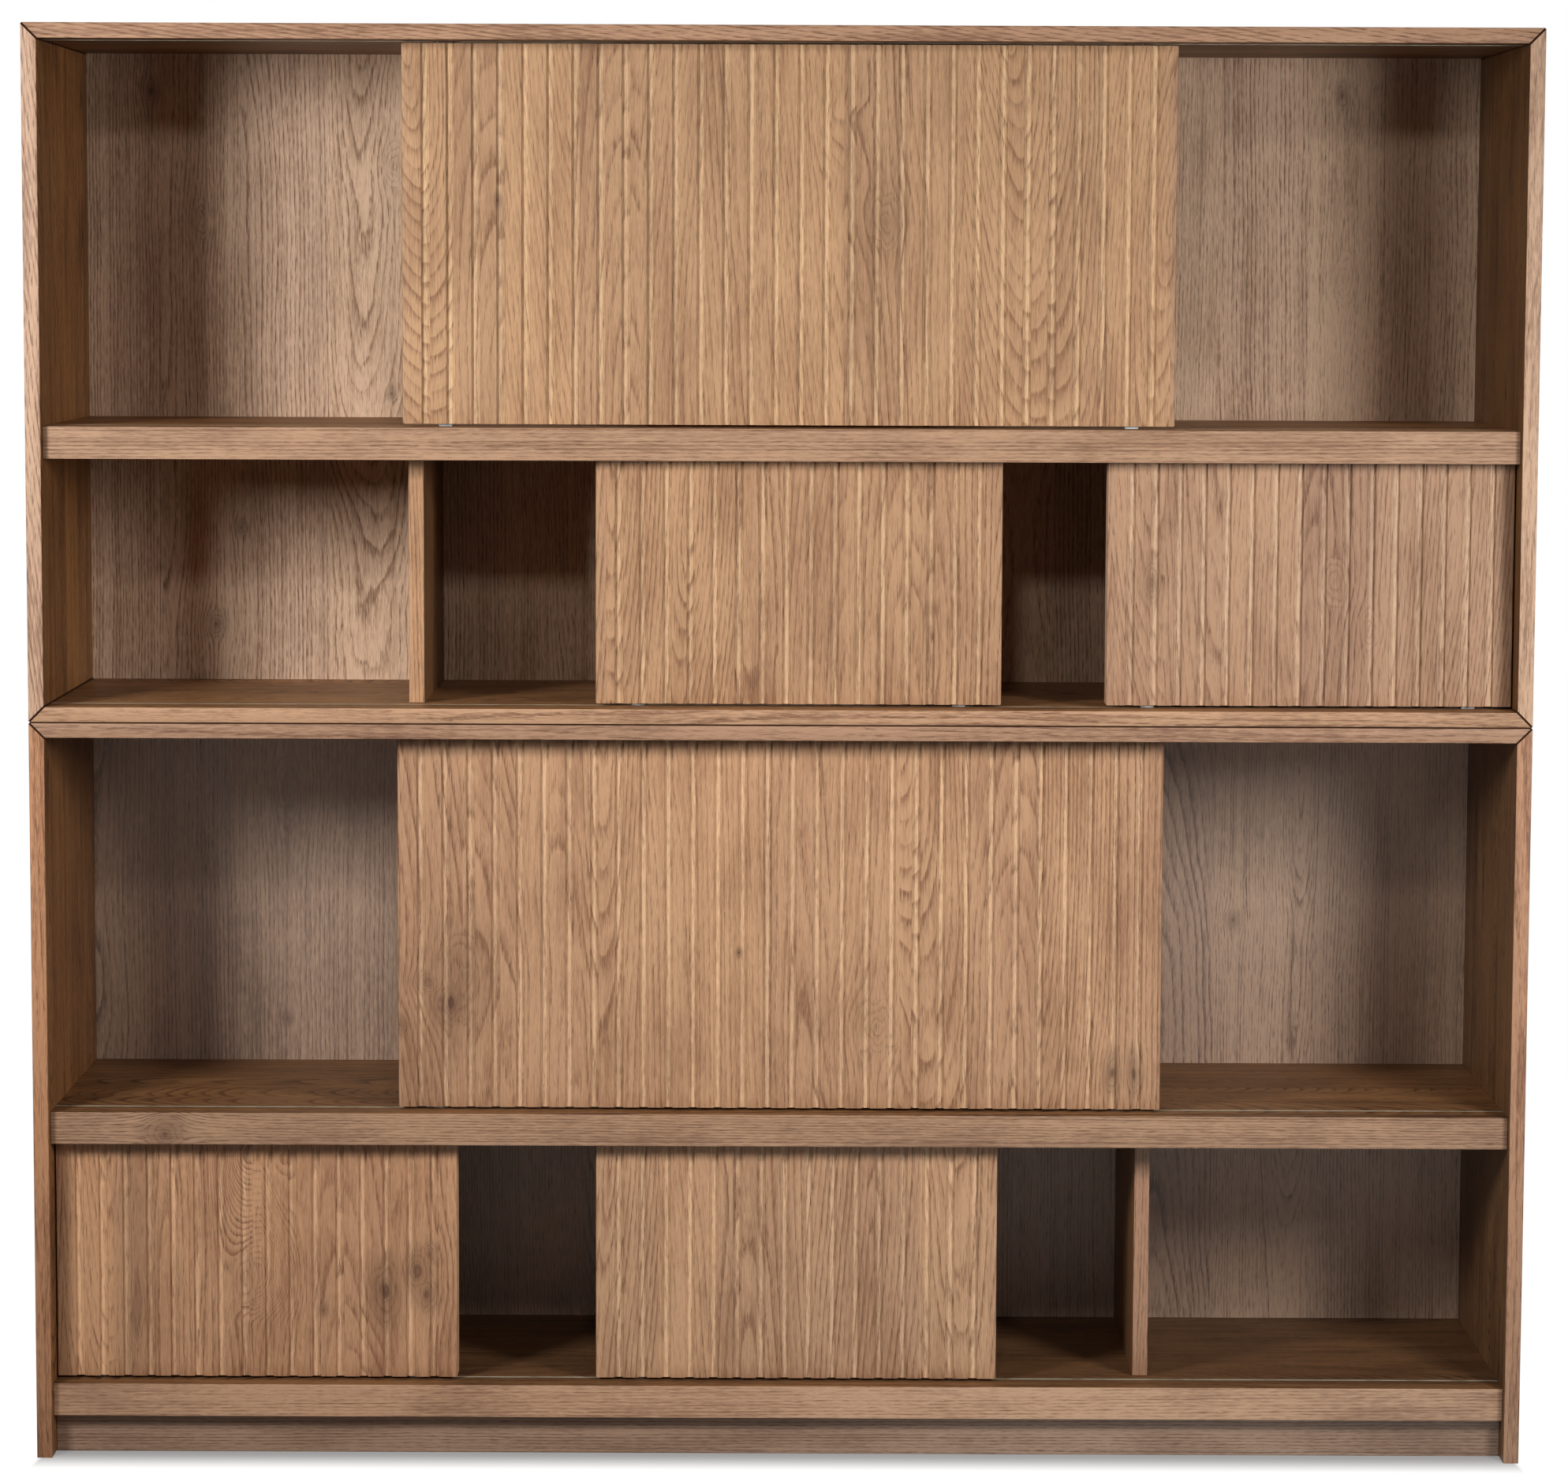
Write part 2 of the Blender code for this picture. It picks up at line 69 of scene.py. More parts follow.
def linear(colour: Colour) -> tuple[float, float, float, float]:
    """Turn a display colour into the linear one that a socket takes.

    Args:
        colour: Red, green and blue from 0 to 255, as a screen shows them.

    Returns:
        The same colour as linear red, green, blue and an alpha of 1.
    """
    parts = [part / 255 for part in colour]
    made = [p / 12.92 if p <= 0.04045 else ((p + 0.055) / 1.055) ** 2.4 for p in parts]
    return (made[0], made[1], made[2], 1.0)


class Axis(Enum):
    """Axis of the shared frame."""

    X = 0
    Y = 1
    Z = 2


class Unit(Enum):
    """Cabinet of the bookcase."""

    UPPER = "upper"
    LOWER = "lower"


class Slot(Enum):
    """Material slots of the part's record, which no piece here reads."""

    FRAME = "frame_oak"
    DOOR = "door_oak"


def _maths(operation: str, swapped: bool = False) -> Callable[..., "Signal"]:
    """Make a method of Signal that adds a Math node.

    Args:
        operation: Operation of the node.
        swapped: Whether the signal comes after the other value.

    Returns:
        The method, which takes the other value where the operation has one.
    """

    def method(self: "Signal", *others: "Signal | float") -> "Signal":
        """Add the node, and give its result."""
        values = (*others, self) if swapped else (self, *others)
        sockets, settings = dict(enumerate(values)), {"operation": operation}
        return self.shader.signal("ShaderNodeMath", sockets, settings)

    return method


class Signal:
    """A socket's output, so that shader maths reads as an expression."""

    __add__ = _maths("ADD")
    __radd__ = _maths("ADD", swapped=True)
    __sub__ = _maths("SUBTRACT")
    __rsub__ = _maths("SUBTRACT", swapped=True)
    __mul__ = _maths("MULTIPLY")
    __rmul__ = _maths("MULTIPLY", swapped=True)
    __truediv__ = _maths("DIVIDE")
    __rtruediv__ = _maths("DIVIDE", swapped=True)
    __abs__ = _maths("ABSOLUTE")
    fraction = _maths("FRACT")
    root = _maths("SQRT")
    at_most = _maths("MINIMUM")
    at_least = _maths("MAXIMUM")

    def __init__(self, shader: "Shader", socket: bpy.types.NodeSocket) -> None:
        """Keep the output socket and the shader that it belongs to."""
        self.shader = shader
        self.socket = socket

    def step(self, low: float, high: float) -> "Signal":
        """Rise smoothly from 0 at one value to 1 at another.

        Args:
            low: Value at which the result is 0.
            high: Value at which the result is 1. It may be the smaller one.

        Returns:
            The smooth step.
        """
        flip = low > high
        sockets = {"Value": self, "From Min": min(low, high), "From Max": max(low, high)}
        sockets |= {"To Min": float(flip), "To Max": float(not flip)}
        settings = {"interpolation_type": "SMOOTHSTEP"}
        return self.shader.signal("ShaderNodeMapRange", sockets, settings)


Node = bpy.types.Node
Material = bpy.types.Material
Parts = tuple[Signal, Signal, Signal]
Sockets = dict[int | str, object] | None
Settings = dict[str, object] | None


@dataclass(frozen=True)
class Grain:
    """Noise that is stretched to a scale along each axis.

    Args:
        scale: Features per metre along each axis; for wood across, through and along the grain.
        shift: Distance that the noise is moved by, so that the noises of a piece differ.
        detail: Octaves of the noise.
        roughness: How strong the finer octaves are.
    """

    scale: Point
    shift: float = 0.0
    detail: float = 2.0
    roughness: float = 0.5


SHIFT_WAY = (1.0, 1.7, 0.6)  # direction that every noise is moved in
SWAY = Grain((6.0, 6.0, 2.4), 3.1, 1.0)
RIPPLE = Grain((55.0, 55.0, 14.0))
DASHES = Grain((900.0, 900.0, 55.0), 0.0, 1.0)
FLECKS = Grain((430.0, 430.0, 48.0), 2.0, 2.0, 0.6)
FIBRES = Grain((560.0, 560.0, 10.0), 0.0, 3.0, 0.65)
STREAKS = Grain((95.0, 95.0, 2.2), 5.0, 3.0, 0.6)
CLOUDS = Grain((14.0, 14.0, 5.0), 8.0)
PLASTIC_WEAR = Grain((28.0, 60.0, 60.0), 1.0, 3.0, 0.6)
PLASTIC_GRIT = Grain((900.0, 900.0, 900.0), 2.0)
FLOOR_MOTTLE = Grain((3.0, 3.0, 3.0))


class Shader:
    """A material's node tree, with the few ways in which this file adds nodes."""

    def __init__(self, name: str, tree: bpy.types.NodeTree | None = None) -> None:
        """Make an empty material, or empty a tree that is there already.

        Args:
            name: Name of the material.
            tree: Tree to use instead of a new material's.
        """
        self.material = None
        if tree is None:
            self.material = bpy.data.materials.new(name)
            self.material.use_nodes = True
            tree = self.material.node_tree
        self.tree = tree
        self.tree.nodes.clear()

    def node(self, kind: str, sockets: Sockets = None, settings: Settings = None) -> Node:
        """Add a node.

        Args:
            kind: Type of the node.
            sockets: Values or signals of its inputs, by name or number.
            settings: Properties that are set first; "stops" holds the place and linear
                colour of each stop of a ramp.

        Returns:
            The node.
        """
        made = self.tree.nodes.new(kind)
        for name, value in (settings or {}).items():
            if name != "stops":
                setattr(made, name, value)
                continue
            elements = made.color_ramp.elements
            while len(elements) < len(value):
                elements.new(1.0)
            for element, (place, colour) in zip(elements, value):
                element.position = place
                element.color = colour
        for key, value in (sockets or {}).items():
            if isinstance(value, Signal):
                self.tree.links.new(value.socket, made.inputs[key])
            else:
                made.inputs[key].default_value = value
        return made

    def signal(
        self, kind: str, sockets: Sockets = None, settings: Settings = None, output: int | str = 0
    ) -> Signal:
        """Add a node and read one of its outputs."""
        return Signal(self, self.node(kind, sockets, settings).outputs[output])

    def mix(self, factor: object, first: object, second: object, way: str = "MIX") -> Signal:
        """Mix two colours.

        Args:
            factor: How much of the second shows.
            first: Colour or signal.
            second: Colour or signal.
            way: Blend type.

        Returns:
            The mixed colour.
        """
        sockets = {0: factor, 6: first, 7: second}
        settings = {"data_type": "RGBA", "blend_type": way}
        return self.signal("ShaderNodeMix", sockets, settings, 2)

    def ramp(self, factor: Signal, stops: list[tuple]) -> Signal:
        """Run a value from 0 to 1 through a ramp of places and linear colours."""
        return self.signal("ShaderNodeValToRGB", {"Fac": factor}, {"stops": stops})

    def grey_ramp(self, factor: Signal, stops: list[tuple[float, float]]) -> Signal:
        """Run a value from 0 to 1 through a ramp of places and greys."""
        return self.ramp(factor, [(place, (grey, grey, grey, 1.0)) for place, grey in stops])

    def parts(self, vector: Signal) -> Parts:
        """Split a vector or a colour into its three parts."""
        made = self.node("ShaderNodeSeparateXYZ", {0: vector})
        return tuple(Signal(self, part) for part in made.outputs)

    def cloud(self, place: Signal, grain: Grain, seed: float = 0.0) -> Signal:
        """Sample a noise.

        Args:
            place: Coordinates in metres.
            grain: The noise.
            seed: Number that sets the piece apart.

        Returns:
            The noise, about 0.5 on average.
        """
        location = tuple((seed + grain.shift) * part for part in SHIFT_WAY)
        sockets = {"Vector": place, "Location": location, "Scale": grain.scale}
        mapped = self.signal("ShaderNodeMapping", sockets, {"vector_type": "POINT"})
        sockets = {"Vector": mapped, "Scale": 1.0}
        sockets |= {"Detail": grain.detail, "Roughness": grain.roughness}
        return self.signal("ShaderNodeTexNoise", sockets, {"noise_dimensions": "3D"})

    def object_place(self) -> Signal:
        """Read the place on the piece, in metres."""
        return self.signal("ShaderNodeTexCoord", output="Object")

    def relief(self, height: Signal, depth: float, strength: float = 0.6) -> Signal:
        """Turn a height from 0 to 1 into the normal of a relief that is `depth` metres deep."""
        sockets = {"Strength": strength, "Distance": depth, "Height": height}
        return self.signal("ShaderNodeBump", sockets)

    def coat(self, colour: Signal, roughness: Signal, normal: Signal, specular: float) -> Signal:
        """Make a Principled surface.

        Args:
            colour: Base colour.
            roughness: Roughness.
            normal: Normal with the relief.
            specular: Specular level, the same all over.

        Returns:
            The surface.
        """
        sockets = {"Base Color": colour, "Roughness": roughness, "Normal": normal}
        sockets["Specular IOR Level"] = specular
        return self.signal("ShaderNodeBsdfPrincipled", sockets)

    def blend(self, mask: Signal, first: Signal, second: Signal) -> Signal:
        """Lay the second surface over the first where the mask is 1."""
        return self.signal("ShaderNodeMixShader", {0: mask, 1: first, 2: second})

    def close(self, surface: Signal) -> Material:
        """Close the tree with a surface, and give the material."""
        self.node("ShaderNodeOutputMaterial", {"Surface": surface})
        return self.material


@dataclass(frozen=True)
class Stain:
    """Colours of one stain on oak, as a screen shows them.

    Args:
        light: Late wood between the pores.
        dark: Early wood, where the pores lie.
        pore: Stain held in an open pore.
        roughness: Roughness of the lacquer.
        specular: Specular level of the lacquer.
    """

    light: Colour
    dark: Colour
    pore: Colour
    roughness: float = 0.5
    specular: float = 0.25

    def shaded(self, factor: Colour) -> "Stain":
        """Make a lighter or darker cut of the stain.

        Args:
            factor: What red, green and blue light are multiplied by.

        Returns:
            The new stain.
        """
        gains = [part ** (1 / 2.2) for part in factor]
        light, dark, pore = (
            tuple(part * gain for part, gain in zip(colour, gains))
            for colour in (self.light, self.dark, self.pore)
        )
        return replace(self, light=light, dark=dark, pore=pore)


DOOR_STAIN = Stain((191, 153, 119), (146, 109, 82), (100, 71, 50))
FRAME_STAIN = Stain((184, 148, 120), (136, 103, 81), (94, 67, 50))
INSIDE_STAIN = Stain((134, 96, 63), (76, 49, 31), (50, 32, 20), 0.45, 0.12)
UPPER_BACK_STAIN = Stain((227, 196, 170), (158, 127, 105), (105, 80, 64), 0.6, 0.12)
LOWER_BACK_STAIN = Stain((196, 165, 142), (126, 99, 82), (80, 61, 50), 0.55, 0.9)
INNER_FACE_STAIN = replace(INSIDE_STAIN, specular=0.25)
REAR_STAIN = Stain((168, 130, 102), (118, 86, 64), (78, 54, 39), 0.6, 0.2)
SEAM_STAIN = Stain((72, 46, 30), (54, 34, 22), (38, 24, 16), 0.7, 0.1)
PLINTH_STAIN = Stain((172, 141, 120), (128, 100, 83), (90, 68, 54))
KNOT_COLOUR = (78, 50, 38)

# Early wood over the width of one growth ring, and gains of the boards' tones.
RING_STOPS = [(0.0, 0.2), (0.10, 1.0), (0.32, 0.36), (0.60, 0.06), (1.0, 0.0)]
TONE_STOPS = [
    (0.0, (1.12, 1.10, 1.06, 1.0)),
    (0.3, (1.04, 1.03, 1.00, 1.0)),
    (0.55, (1.0, 0.99, 0.98, 1.0)),
    (0.8, (0.93, 0.91, 0.91, 1.0)),
    (1.0, (0.80, 0.76, 0.76, 1.0)),
]


@dataclass(frozen=True)
class Knot:
    """Knot in a board's face.

    Args:
        across, along: Place of its middle across and along the grain.
        radius: Radius of the dark heart.
        length: How many times longer it is along the grain than across.
        darkness: How dark the heart is, from 0 to 1.
    """

    across: float
    along: float
    radius: float
    length: float = 1.4
    darkness: float = 0.7


@dataclass(frozen=True)
class Curl:
    """Patch of a board where the grain runs across in ripples.

    Args:
        across, along: Place of its middle across and along the grain.
        width, height: Half its width and half its height.
        tilt: How steeply the rings climb in it.
    """

    across: float
    along: float
    width: float
    height: float
    tilt: float


@dataclass(frozen=True)
class StainedSide:
    """Side of a piece that takes a stain of its own.

    Args:
        axis: Axis that the side is square to.
        level: Where its stain begins.
        sign: 1 where the side lies beyond the level, -1 where it lies before it.
        stain: Its stain.
        blur: Half the width over which the two stains meet.
    """

    axis: Axis
    level: float
    sign: int
    stain: Stain = INNER_FACE_STAIN
    blur: float = 0.0004

    def mask(self, world: Parts) -> Signal:
        """Give 1 on the side, from the place along X, Y and Z."""
        edge = self.blur * self.sign
        return world[self.axis.value].step(self.level - edge, self.level + edge)


@dataclass(frozen=True)
class Seams:
    """Dark lines where a board meets its neighbours.

    Args:
        planes: For each joint, a point on its plane and the way out of the board.
        width: Width of the line on this board.
        stain: Stain that gathers in the joint.
    """

    EDGE = (1.3, 0.7)  # shares of the width between which the line sets in

    planes: tuple[tuple[Vector, Vector], ...]
    width: float = 0.0011
    stain: Stain = SEAM_STAIN

    def mask(self, world: Parts) -> Signal:
        """Mask the lines.

        Args:
            world: Place along X, Y and Z.

        Returns:
            The mask, 1 on the lines.
        """
        mask = None
        for point, out in self.planes:
            parts = [(at - mid) * way for at, mid, way in zip(world, point, out) if way]
            edges = (-self.width * share for share in self.EDGE)
            line = sum(parts[1:], parts[0]).step(*edges)
            mask = line if mask is None else mask.at_least(line)
        return mask


@dataclass(frozen=True)
class Timber:
    """How the oak of a piece was sawn and glued up.

    Args:
        across, depth, grain: Axes of the boards' width, thickness and length.
        middle: Middle of the piece.
        board, ring: Usual width of a board and of a growth ring.
        pith: Usual distance of the tree's heart behind the face.
        spread: How far the heart strays across a board.
        lean: How far the heart leans, in metres per metre of grain.
        slant: How far the grain slants, in metres per metre.
        sway, ripple: How far the rings sway along the grain, and ripple finely.
        seed: Number that sets this piece apart from others.
        contrast: Strength of the early wood's darkness.
        fibres, streaks: Strength of the fine lines and the soft streaks along the grain.
        flecks: Strength of the short dashes that the open pores make.
        clouds: Strength of the broad lighter and darker areas.
        tones: How much the boards differ in colour.
        painted_light_drift: Painted light: how much paler the stain gets per metre across it.
    """

    across: Axis
    depth: Axis
    grain: Axis
    middle: Vector
    board: float = 0.050
    ring: float = 0.0052
    pith: float = 0.030
    spread: float = 0.22
    lean: float = 0.32
    slant: float = 0.10
    sway: float = 0.005
    ripple: float = 0.0006
    seed: float = 0.0
    contrast: float = 0.75
    fibres: float = 1.2
    streaks: float = 0.6
    flecks: float = 0.7
    clouds: float = 1.1
    tones: float = 1.0
    painted_light_drift: float = 0.0


@dataclass(frozen=True)
class GrooveTint:
    """Paler wood at the bottom of a door's milled grooves, and painted shade on their walls.

    Args:
        front, depth: Place along Y of the staves' faces, and depth of the grooves.
        dull, bright: Gains at the bottom where the cut wood is darkest and palest.
        wall_shade_gain: Gain that darkens the walls: painted shade in the grooves.
        strips: Shares of the fibres between which the bottom turns from bright to dull.
        wall: Depths between which the painted wall shade sets in.
        bottom: Heights over the bottom between which its own gain sets in.
    """

    front: float
    depth: float
    dull: Colour = (1.10, 1.16, 1.16)
    bright: Colour = (1.50, 1.64, 1.74)
    # painted shade: gain that darkens the groove walls
    wall_shade_gain: Colour = (0.46 * 1.06, 0.46, 0.46 * 0.92)
    strips: tuple[float, float] = (0.32, 0.68)
    wall: tuple[float, float] = (0.0008, 0.0016)
    bottom: tuple[float, float] = (0.0006, 0.0002)


@dataclass
class OakFinish:
    """Stained oak: rings, pores, fibres, boards of different tone, and knots.

    Args:
        name: Name of the material.
        stain: Stain of the outside.
        timber: How the wood was sawn.
        knots: Knots and curls in the face.
        sides: Sides and seams with stains of their own.
        groove: Tint of milled grooves, with painted shade on their walls.
    """

    KNOT_REACH = 2.4  # radii within which the grain bends round a knot
    KNOT_ROUGHNESS = 2.6  # radii that the fine noise moves a knot's outline by
    EYE_EDGE = (2.9, 2.1)  # radii between which a knot's own rings take over
    PLAIN_DEPTH = 0.16  # share of the dark stain in wood without any figure
    PORE_SHARE = 0.75  # share of the pore's stain in an open pore
    RELIEF = 0.00025  # depth of the wood's relief

    name: str
    stain: Stain
    timber: Timber
    knots: tuple[Knot | Curl, ...] = ()
    sides: tuple[StainedSide | Seams, ...] = ()
    groove: GrooveTint | None = None

    def __post_init__(self) -> None:
        """Start the material: read the place, turn it to the grain, work out the figure."""
        self.shader = Shader(self.name)
        self.world = self.shader.parts(self.shader.object_place())
        axes = (self.timber.across, self.timber.depth, self.timber.grain)
        middle = self.timber.middle
        self.turned = [self.world[axis.value] - middle[axis.value] for axis in axes]
        self.place = self.shader.signal("ShaderNodeCombineXYZ", dict(enumerate(self.turned)))
        self.figure = self._figure()

    def _boards(self) -> tuple[Signal, Signal, Signal, Signal]:
        """Split the width into boards.

        Returns:
            The place within the board, and three numbers that differ by board.
        """
        timber, across = self.timber, self.turned[0]
        made = self.shader.node(
            "ShaderNodeTexVoronoi",
            {"W": across / timber.board + timber.seed, "Scale": 1.0, "Randomness": 0.8},
            {"voronoi_dimensions": "1D"},
        )
        centre = (Signal(self.shader, made.outputs["W"]) - timber.seed) * timber.board
        return across - centre, *self.shader.parts(Signal(self.shader, made.outputs["Color"]))

    def _around_knots(
        self, offset: Signal, ripple: Signal
    ) -> tuple[Signal, Signal | None, Signal | None]:
        """Let the grain flow round the knots, as water flows round a post.

        Args:
            offset: Distance to the tree's heart across the board.
            ripple: Fine noise that roughens the knots' outlines.

        Returns:
            The bent distance, how dark the knots make the wood, and the distance to the
            nearest knot in its radii.
        """
        across = self.world[self.timber.across.value]
        along = self.world[self.timber.grain.value]
        heart = nearest = None
        for knot in self.knots:
            dx = across - knot.across
            dz = along - knot.along
            if isinstance(knot, Curl):
                inside = (1.0 - abs(dx) / knot.width).at_least(0.0).step(0.0, 0.8)
                inside = inside * (1.0 - abs(dz) / knot.height).at_least(0.0).step(0.0, 0.6)
                offset = offset + inside * (dz + abs(dx) * 1.1) * knot.tilt
                continue
            dz = dz / knot.length
            square = dx * dx + dz * dz
            reach = (knot.radius * self.KNOT_REACH) ** 2
            offset = offset - dx * (reach / (square + reach * 0.25))
            radii = square.root() / knot.radius + (ripple - 0.5) * self.KNOT_ROUGHNESS
            dark = radii.step(1.3, 0.3).at_least(radii.step(5.0, 0.8) * 0.55) * knot.darkness
            heart = dark if heart is None else heart.at_least(dark)
            nearest = radii if nearest is None else nearest.at_most(radii)
        return offset, heart, nearest

    def _figure(self) -> dict[str, Signal]:
        """Work out the figure of the wood.

        Returns:
            Its parts by name, with the hearts of the knots where there are any.
        """
        shader, timber = self.shader, self.timber
        across, depth, along = self.turned
        local, first, second, third = self._boards()
        sway, ripple, dashes, flecks, fibres, streaks, clouds = (
            shader.cloud(self.place, grain, timber.seed)
            for grain in (SWAY, RIPPLE, DASHES, FLECKS, FIBRES, STREAKS, CLOUDS)
        )
        offset = local + (first - 0.5) * timber.spread + along * (second - 0.5) * timber.slant
        offset, knot_heart, nearest = self._around_knots(offset, ripple)
        heart = depth + timber.pith * (0.4 + 1.4 * second) + along * (third - 0.5) * timber.lean
        heart = heart + (sway - 0.5) * timber.sway * 4.0
        radius = (offset * offset + heart * heart).root()
        radius = radius + (ripple - 0.5) * timber.ripple * 4.0 + (sway - 0.5) * timber.sway
        count = radius / ((0.75 + 0.5 * third) * timber.ring) + second * 7.0
        vigour = shader.signal(
            "ShaderNodeTexNoise",
            {"W": count * 0.37 + timber.seed, "Scale": 1.0, "Detail": 2.0},
            {"noise_dimensions": "1D"},
        )
        early = shader.grey_ramp(count.fraction(), RING_STOPS)
        early = early * (0.3 + vigour.step(0.25, 0.72)) * (0.6 + 0.8 * flecks.step(0.3, 0.7))
        early = early * (0.6 + 0.8 * first)
        if nearest is not None:
            eye = shader.grey_ramp((nearest * 1.3).fraction(), RING_STOPS) * 0.6
            early = early + nearest.step(*self.EYE_EDGE) * (eye - early)
        figure = {
            "across": across,
            "early": early,
            "flecks": flecks,
            "pores": dashes.step(0.53, 0.67) * (0.3 + 0.7 * early).at_most(1.0),
            "fibres": fibres, "streaks": streaks, "clouds": clouds,
            "tone": third * 0.55 + first * 0.45,
        }
        if knot_heart is not None:
            figure["knots"] = knot_heart
        return figure

    def _stained(self, stain: Stain) -> Signal:
        """Colour the figure with a stain.

        Args:
            stain: The stain.

        Returns:
            The colour.
        """
        shader, timber, figure = self.shader, self.timber, self.figure
        depth = (
            self.PLAIN_DEPTH
            + figure["early"] * timber.contrast
            + (figure["fibres"] - 0.5) * timber.fibres
            + (figure["flecks"] - 0.5) * timber.flecks
            + (figure["streaks"] - 0.5) * timber.streaks * 2.0
            + (figure["clouds"] - 0.5) * timber.clouds
        )
        # Painted light: the stain pales across the piece.
        depth = (depth - figure["across"] * timber.painted_light_drift).at_least(0.0).at_most(1.0)
        colour = shader.mix(depth, linear(stain.light), linear(stain.dark))
        return shader.mix(figure["pores"] * self.PORE_SHARE, colour, linear(stain.pore))

    def _grooved(self, colour: Signal) -> Signal:
        """Paint shade on the walls of the milled grooves, and leave their bottoms paler.

        Args:
            colour: Colour of the staves.

        Returns:
            The colour with its grooves.
        """
        shader, groove, depth = self.shader, self.groove, self.world[1]
        # Painted shade: the groove walls are darkened, as shade falls in them.
        wall_shaded = shader.mix(1.0, colour, (*groove.wall_shade_gain, 1.0), "MULTIPLY")
        wall = depth.step(*(groove.front + part for part in groove.wall))
        stops = zip(groove.strips, ((*groove.bright, 1.0), (*groove.dull, 1.0)))
        cut = self.figure["fibres"] * 0.5 + self.figure["flecks"] * 0.5
        bare = shader.mix(1.0, colour, shader.ramp(cut, list(stops)), "MULTIPLY")
        bottom = depth.step(*(groove.front + groove.depth - part for part in groove.bottom))
        return shader.mix(bottom, shader.mix(wall, colour, wall_shaded), bare)

    def _coated(self, stain: Stain, normal: Signal) -> Signal:
        """Stain and lacquer the wood.

        Args:
            stain: The stain.
            normal: Normal with the pores' relief.

        Returns:
            The surface.
        """
        shader, figure = self.shader, self.figure
        colour = self._stained(stain)
        if self.groove is not None:
            colour = self._grooved(colour)
        toned = shader.mix(1.0, colour, shader.ramp(figure["tone"], TONE_STOPS), "MULTIPLY")
        colour = shader.mix(self.timber.tones, colour, toned)
        if "knots" in figure:
            colour = shader.mix(figure["knots"], colour, linear(KNOT_COLOUR))
        rough = stain.roughness + (figure["fibres"] - 0.5) * 0.2 + figure["pores"] * 0.15
        return shader.coat(colour, rough, normal, stain.specular)

    def material(self) -> Material:
        """Put the material together.

        Returns:
            The material.
        """
        figure = self.figure
        height = 0.6 + (figure["fibres"] - 0.5) * 0.5 - figure["early"] * 0.2
        normal = self.shader.relief(height - figure["pores"] * 0.4, self.RELIEF)
        surface = self._coated(self.stain, normal)
        for side in self.sides:
            other = self._coated(side.stain, normal)
            surface = self.shader.blend(side.mask(self.world), surface, other)
        return self.shader.close(surface)


@dataclass(frozen=True)
class PlasticFinish:
    """Moulded plastic with a faint grain.

    Args:
        name: Name of the material.
        light: Its colour.
        dark: Its colour where dust and wear dull it.
        roughness: Its roughness.
        specular: Its specular level.
        relief: Depth of its grain.
    """

    name: str
    light: Colour
    dark: Colour
    roughness: float = 0.4
    specular: float = 0.45
    relief: float = 0.00008

    def material(self) -> Material:
        """Build the material.

        Returns:
            The material.
        """
        shader = Shader(self.name)
        place = shader.object_place()
        wear = shader.cloud(place, PLASTIC_WEAR)
        grit = shader.cloud(place, PLASTIC_GRIT)
        colour = shader.mix(wear.step(0.40, 0.72), linear(self.light), linear(self.dark))
        rough = self.roughness + (grit - 0.5) * 0.2 + (wear - 0.5) * 0.2
        normal = shader.relief(grit, self.relief)
        return shader.close(shader.coat(colour, rough, normal, self.specular))


def add_object(name: str, data: bpy.types.ID) -> bpy.types.Object:
    """Put data into the scene.

    Args:
        name: Name of the object.
        data: Its mesh, lamp or camera.

    Returns:
        The object.
    """
    made = bpy.data.objects.new(name, data)
    bpy.context.scene.collection.objects.link(made)
    return made


def add_shape(name: str, shape: bmesh.types.BMesh, material: Material) -> bpy.types.Object:
    """Make an object of a finished shape.

    Args:
        name: Name of the object.
        shape: The shape, which is freed.
        material: Its material.

    Returns:
        The object.
    """
    mesh = bpy.data.meshes.new(name)
    shape.to_mesh(mesh)
    shape.free()
    mesh.materials.append(material)
    return add_object(name, mesh)


class CadCopy:
    """A clean copy of a CAD node's mesh, open for finishing."""

    NEAR = 1e-5  # distance within which two points are one
    FLAT_ANGLE = math.radians(0.5)
    SHARP_ANGLE = math.radians(28)

    def __init__(self, node: str) -> None:
        """Copy the node and merge its loose triangles into flat faces.

        Args:
            node: Name of the CAD node.
        """
        self.node = node
        self.low, self.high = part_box(node)
        self.middle = (self.low + self.high) / 2
        self.shape = bmesh.new()
        self.shape.from_mesh(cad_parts[node].data)
        verts, edges = self.shape.verts, self.shape.edges
        bmesh.ops.remove_doubles(self.shape, verts=verts, dist=self.NEAR)
        bmesh.ops.dissolve_limit(self.shape, angle_limit=self.FLAT_ANGLE, verts=verts, edges=edges)

    def slice(self, point: Vector, normal: Vector, waste: bool = False) -> list:
        """Add an edge loop where a plane meets the shape.

        Args:
            point: Point of the plane.
            normal: Normal of the plane.
            waste: Whether what the normal points at is taken off.

        Returns:
            The edges and corners on the plane.
        """
        everything = [*self.shape.verts, *self.shape.edges, *self.shape.faces]
        made = bmesh.ops.bisect_plane(
            self.shape, geom=everything, dist=1e-6, plane_co=point, plane_no=normal,
            clear_outer=waste,
        )
        return made["geom_cut"]

    def pare(self, point: Vector, normal: Vector) -> None:
        """Take off what lies beyond a plane, and close the cut.

        Args:
            point: Point of the plane.
            normal: Normal of the plane, which points at the waste.
        """
        cut = self.slice(point, normal, waste=True)
        rim = [part for part in cut if isinstance(part, bmesh.types.BMEdge) and part.is_boundary]
        if rim:
            bmesh.ops.holes_fill(self.shape, edges=rim, sides=0)

    def finish(self, name: str, body: str, material: Material) -> None:
        """Make the piece, which stands for its CAD node.

        Args:
            name: Name of the piece.
            body: Body that it rides on.
            material: Its material.
        """
        piece = add_shape(name, self.shape, material)
        mesh = piece.data
        mesh.polygons.foreach_set("use_smooth", [True] * len(mesh.polygons))
        mesh.set_sharp_from_angle(angle=self.SHARP_ANGLE)
        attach(piece, body)
        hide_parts(self.node)
        log.info("%s: %d faces, stands for %s", name, len(mesh.polygons), self.node)


